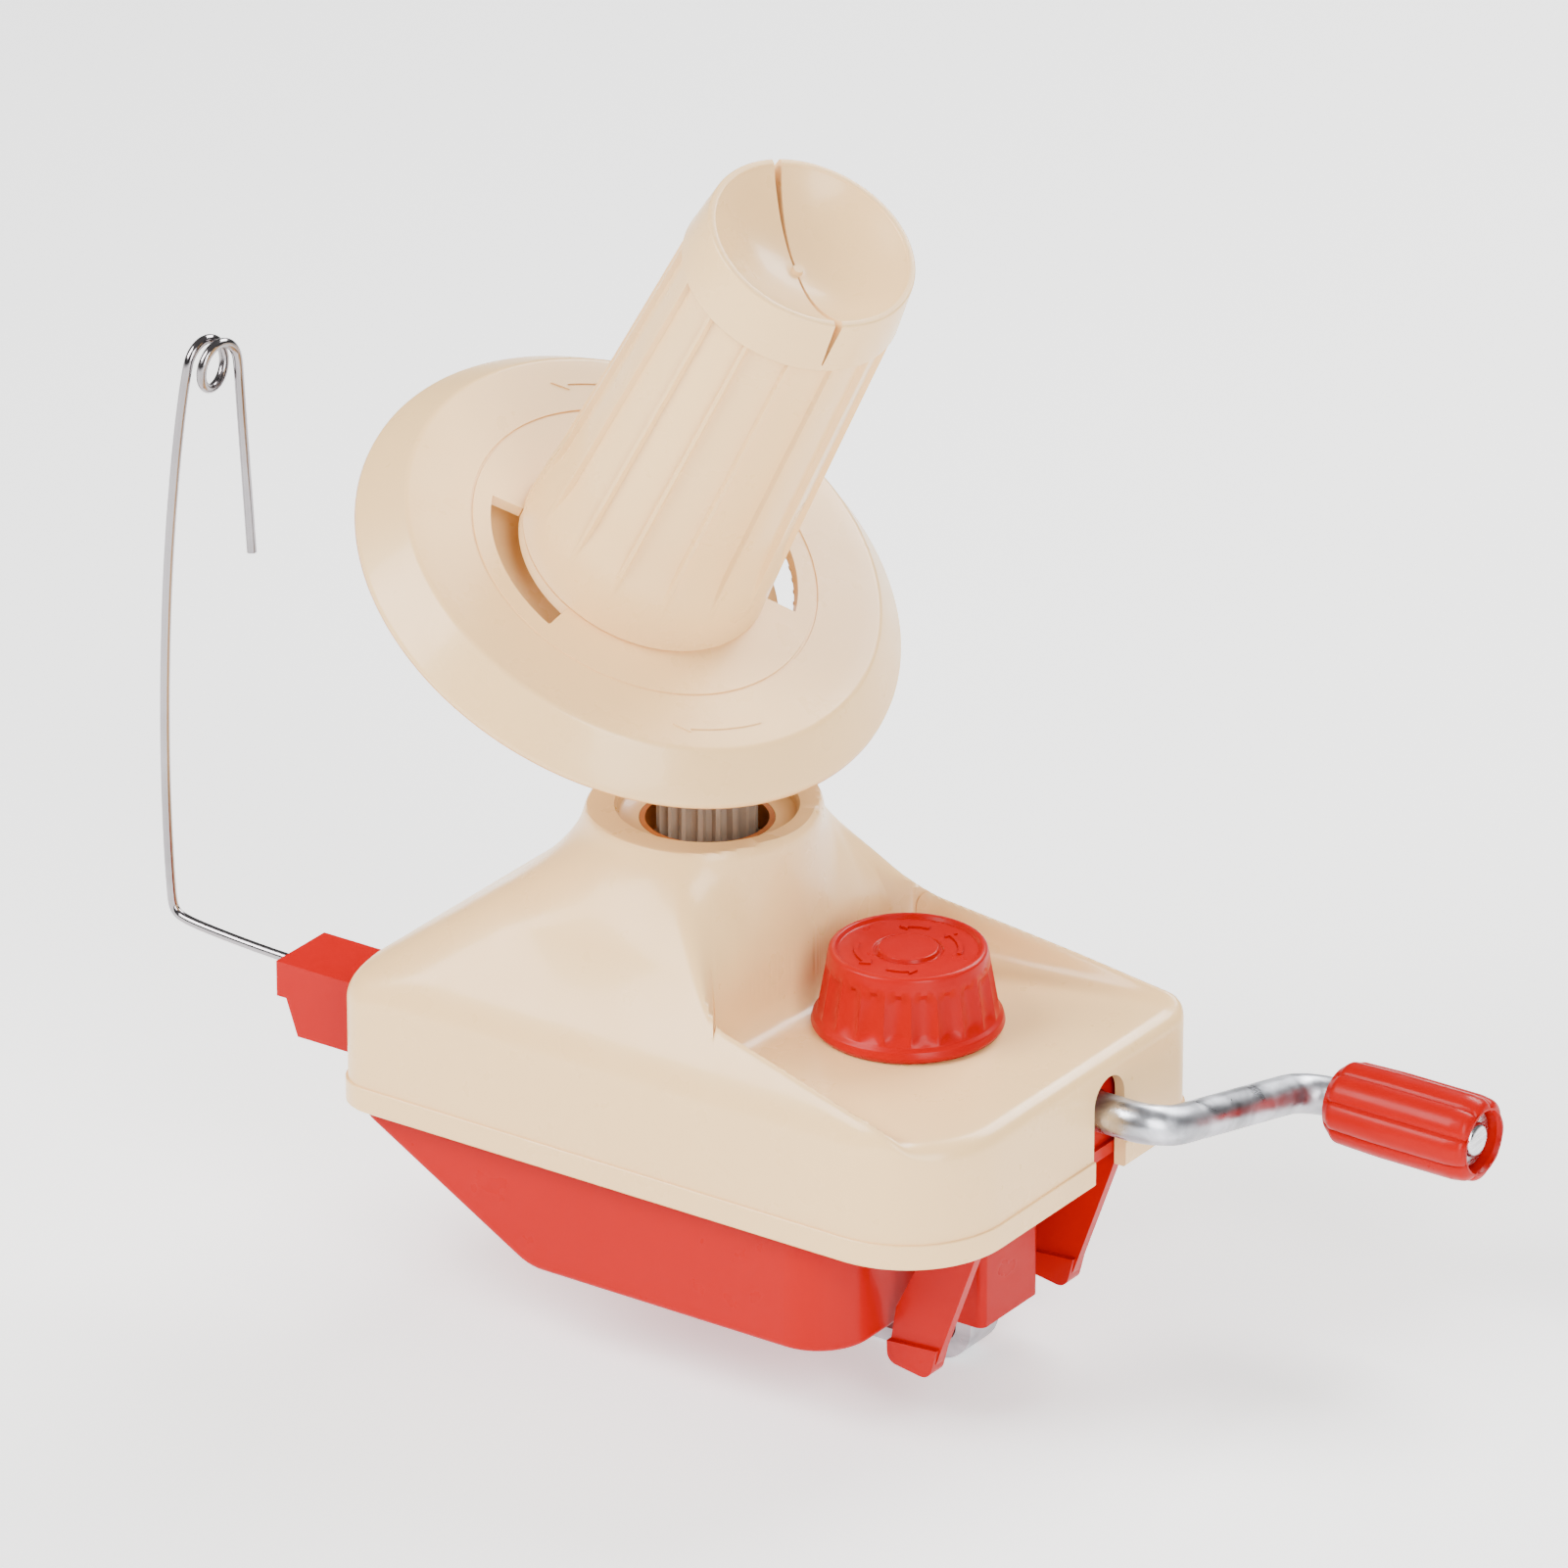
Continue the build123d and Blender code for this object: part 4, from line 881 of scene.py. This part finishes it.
# ---------------------------------------------------------------- yarn guide wire
def make_guide_wire():
    """Wire from its holder up to a curl of one and a half turns, and down again to a free end."""
    low, high = node_box("guide_wire")
    start = Vector(joint_row("guide_swing")["pos_m"]) / MM
    radius, free_end_z = 1.0, 124
    left, top = low.x + radius, high.z - radius
    curl, pitch, turns = 4.9, 3.4, 1.5
    curl_x, curl_y, curl_z = left + 7.6, start.y + curl, top - curl
    path = [
        (start.x + 12, start.y, start.z),
        (start.x + 3, start.y, start.z),
        (start.x - 6, start.y, start.z),
        (left + 10, start.y, start.z + 1.1),
        (left + 3.6, start.y, start.z + 1.9),
        (left + 1.4, start.y, start.z + 3.2),
        (left + 1.0, start.y, start.z + 7),
        (left + 0.3, start.y, 62),
        (left, start.y, 84),
        (left + 1.0, start.y, 110),
        (left + 2.6, start.y, 130),
        (left + 5.0, start.y, 150),
        (left + 6.8, start.y, curl_z - 4),
    ]
    steps = 24
    for k in range(steps + 1):
        angle = math.pi - k / steps * turns * 2 * math.pi
        path.append((
            curl_x + pitch * turns * k / steps,
            curl_y + curl * math.cos(angle),
            curl_z + curl * math.sin(angle),
        ))
    free_x, free_y = curl_x + pitch * turns, curl_y + curl
    path += [
        (free_x + 0.2, free_y, curl_z - 5),
        (free_x + 1.2, free_y, curl_z - 20),
        (free_x + 2.5, free_y, free_end_z),
    ]
    curve = bpy.data.curves.new("yarn_wire", "CURVE")
    curve.dimensions = "3D"
    curve.bevel_depth = radius * MM
    curve.bevel_resolution = 5
    curve.use_fill_caps = True
    curve.resolution_u = 8
    spline = curve.splines.new("NURBS")
    spline.points.add(len(path) - 1)
    for spot, place in zip(spline.points, path):
        spot.co = (*(Vector(place) * MM), 1)
    spline.order_u = 4
    spline.use_endpoint_u = True
    wire = bpy.data.objects.new("yarn_wire", curve)
    bpy.context.scene.collection.objects.link(wire)
    finish_piece(wire, "guide", "wire", "guide_wire")


add_camera()
add_studio()
paint_nodes()
make_upper_housing()
make_disc()
make_spool()
make_spool_cap()
make_knob()
make_grip()
make_guide_wire()
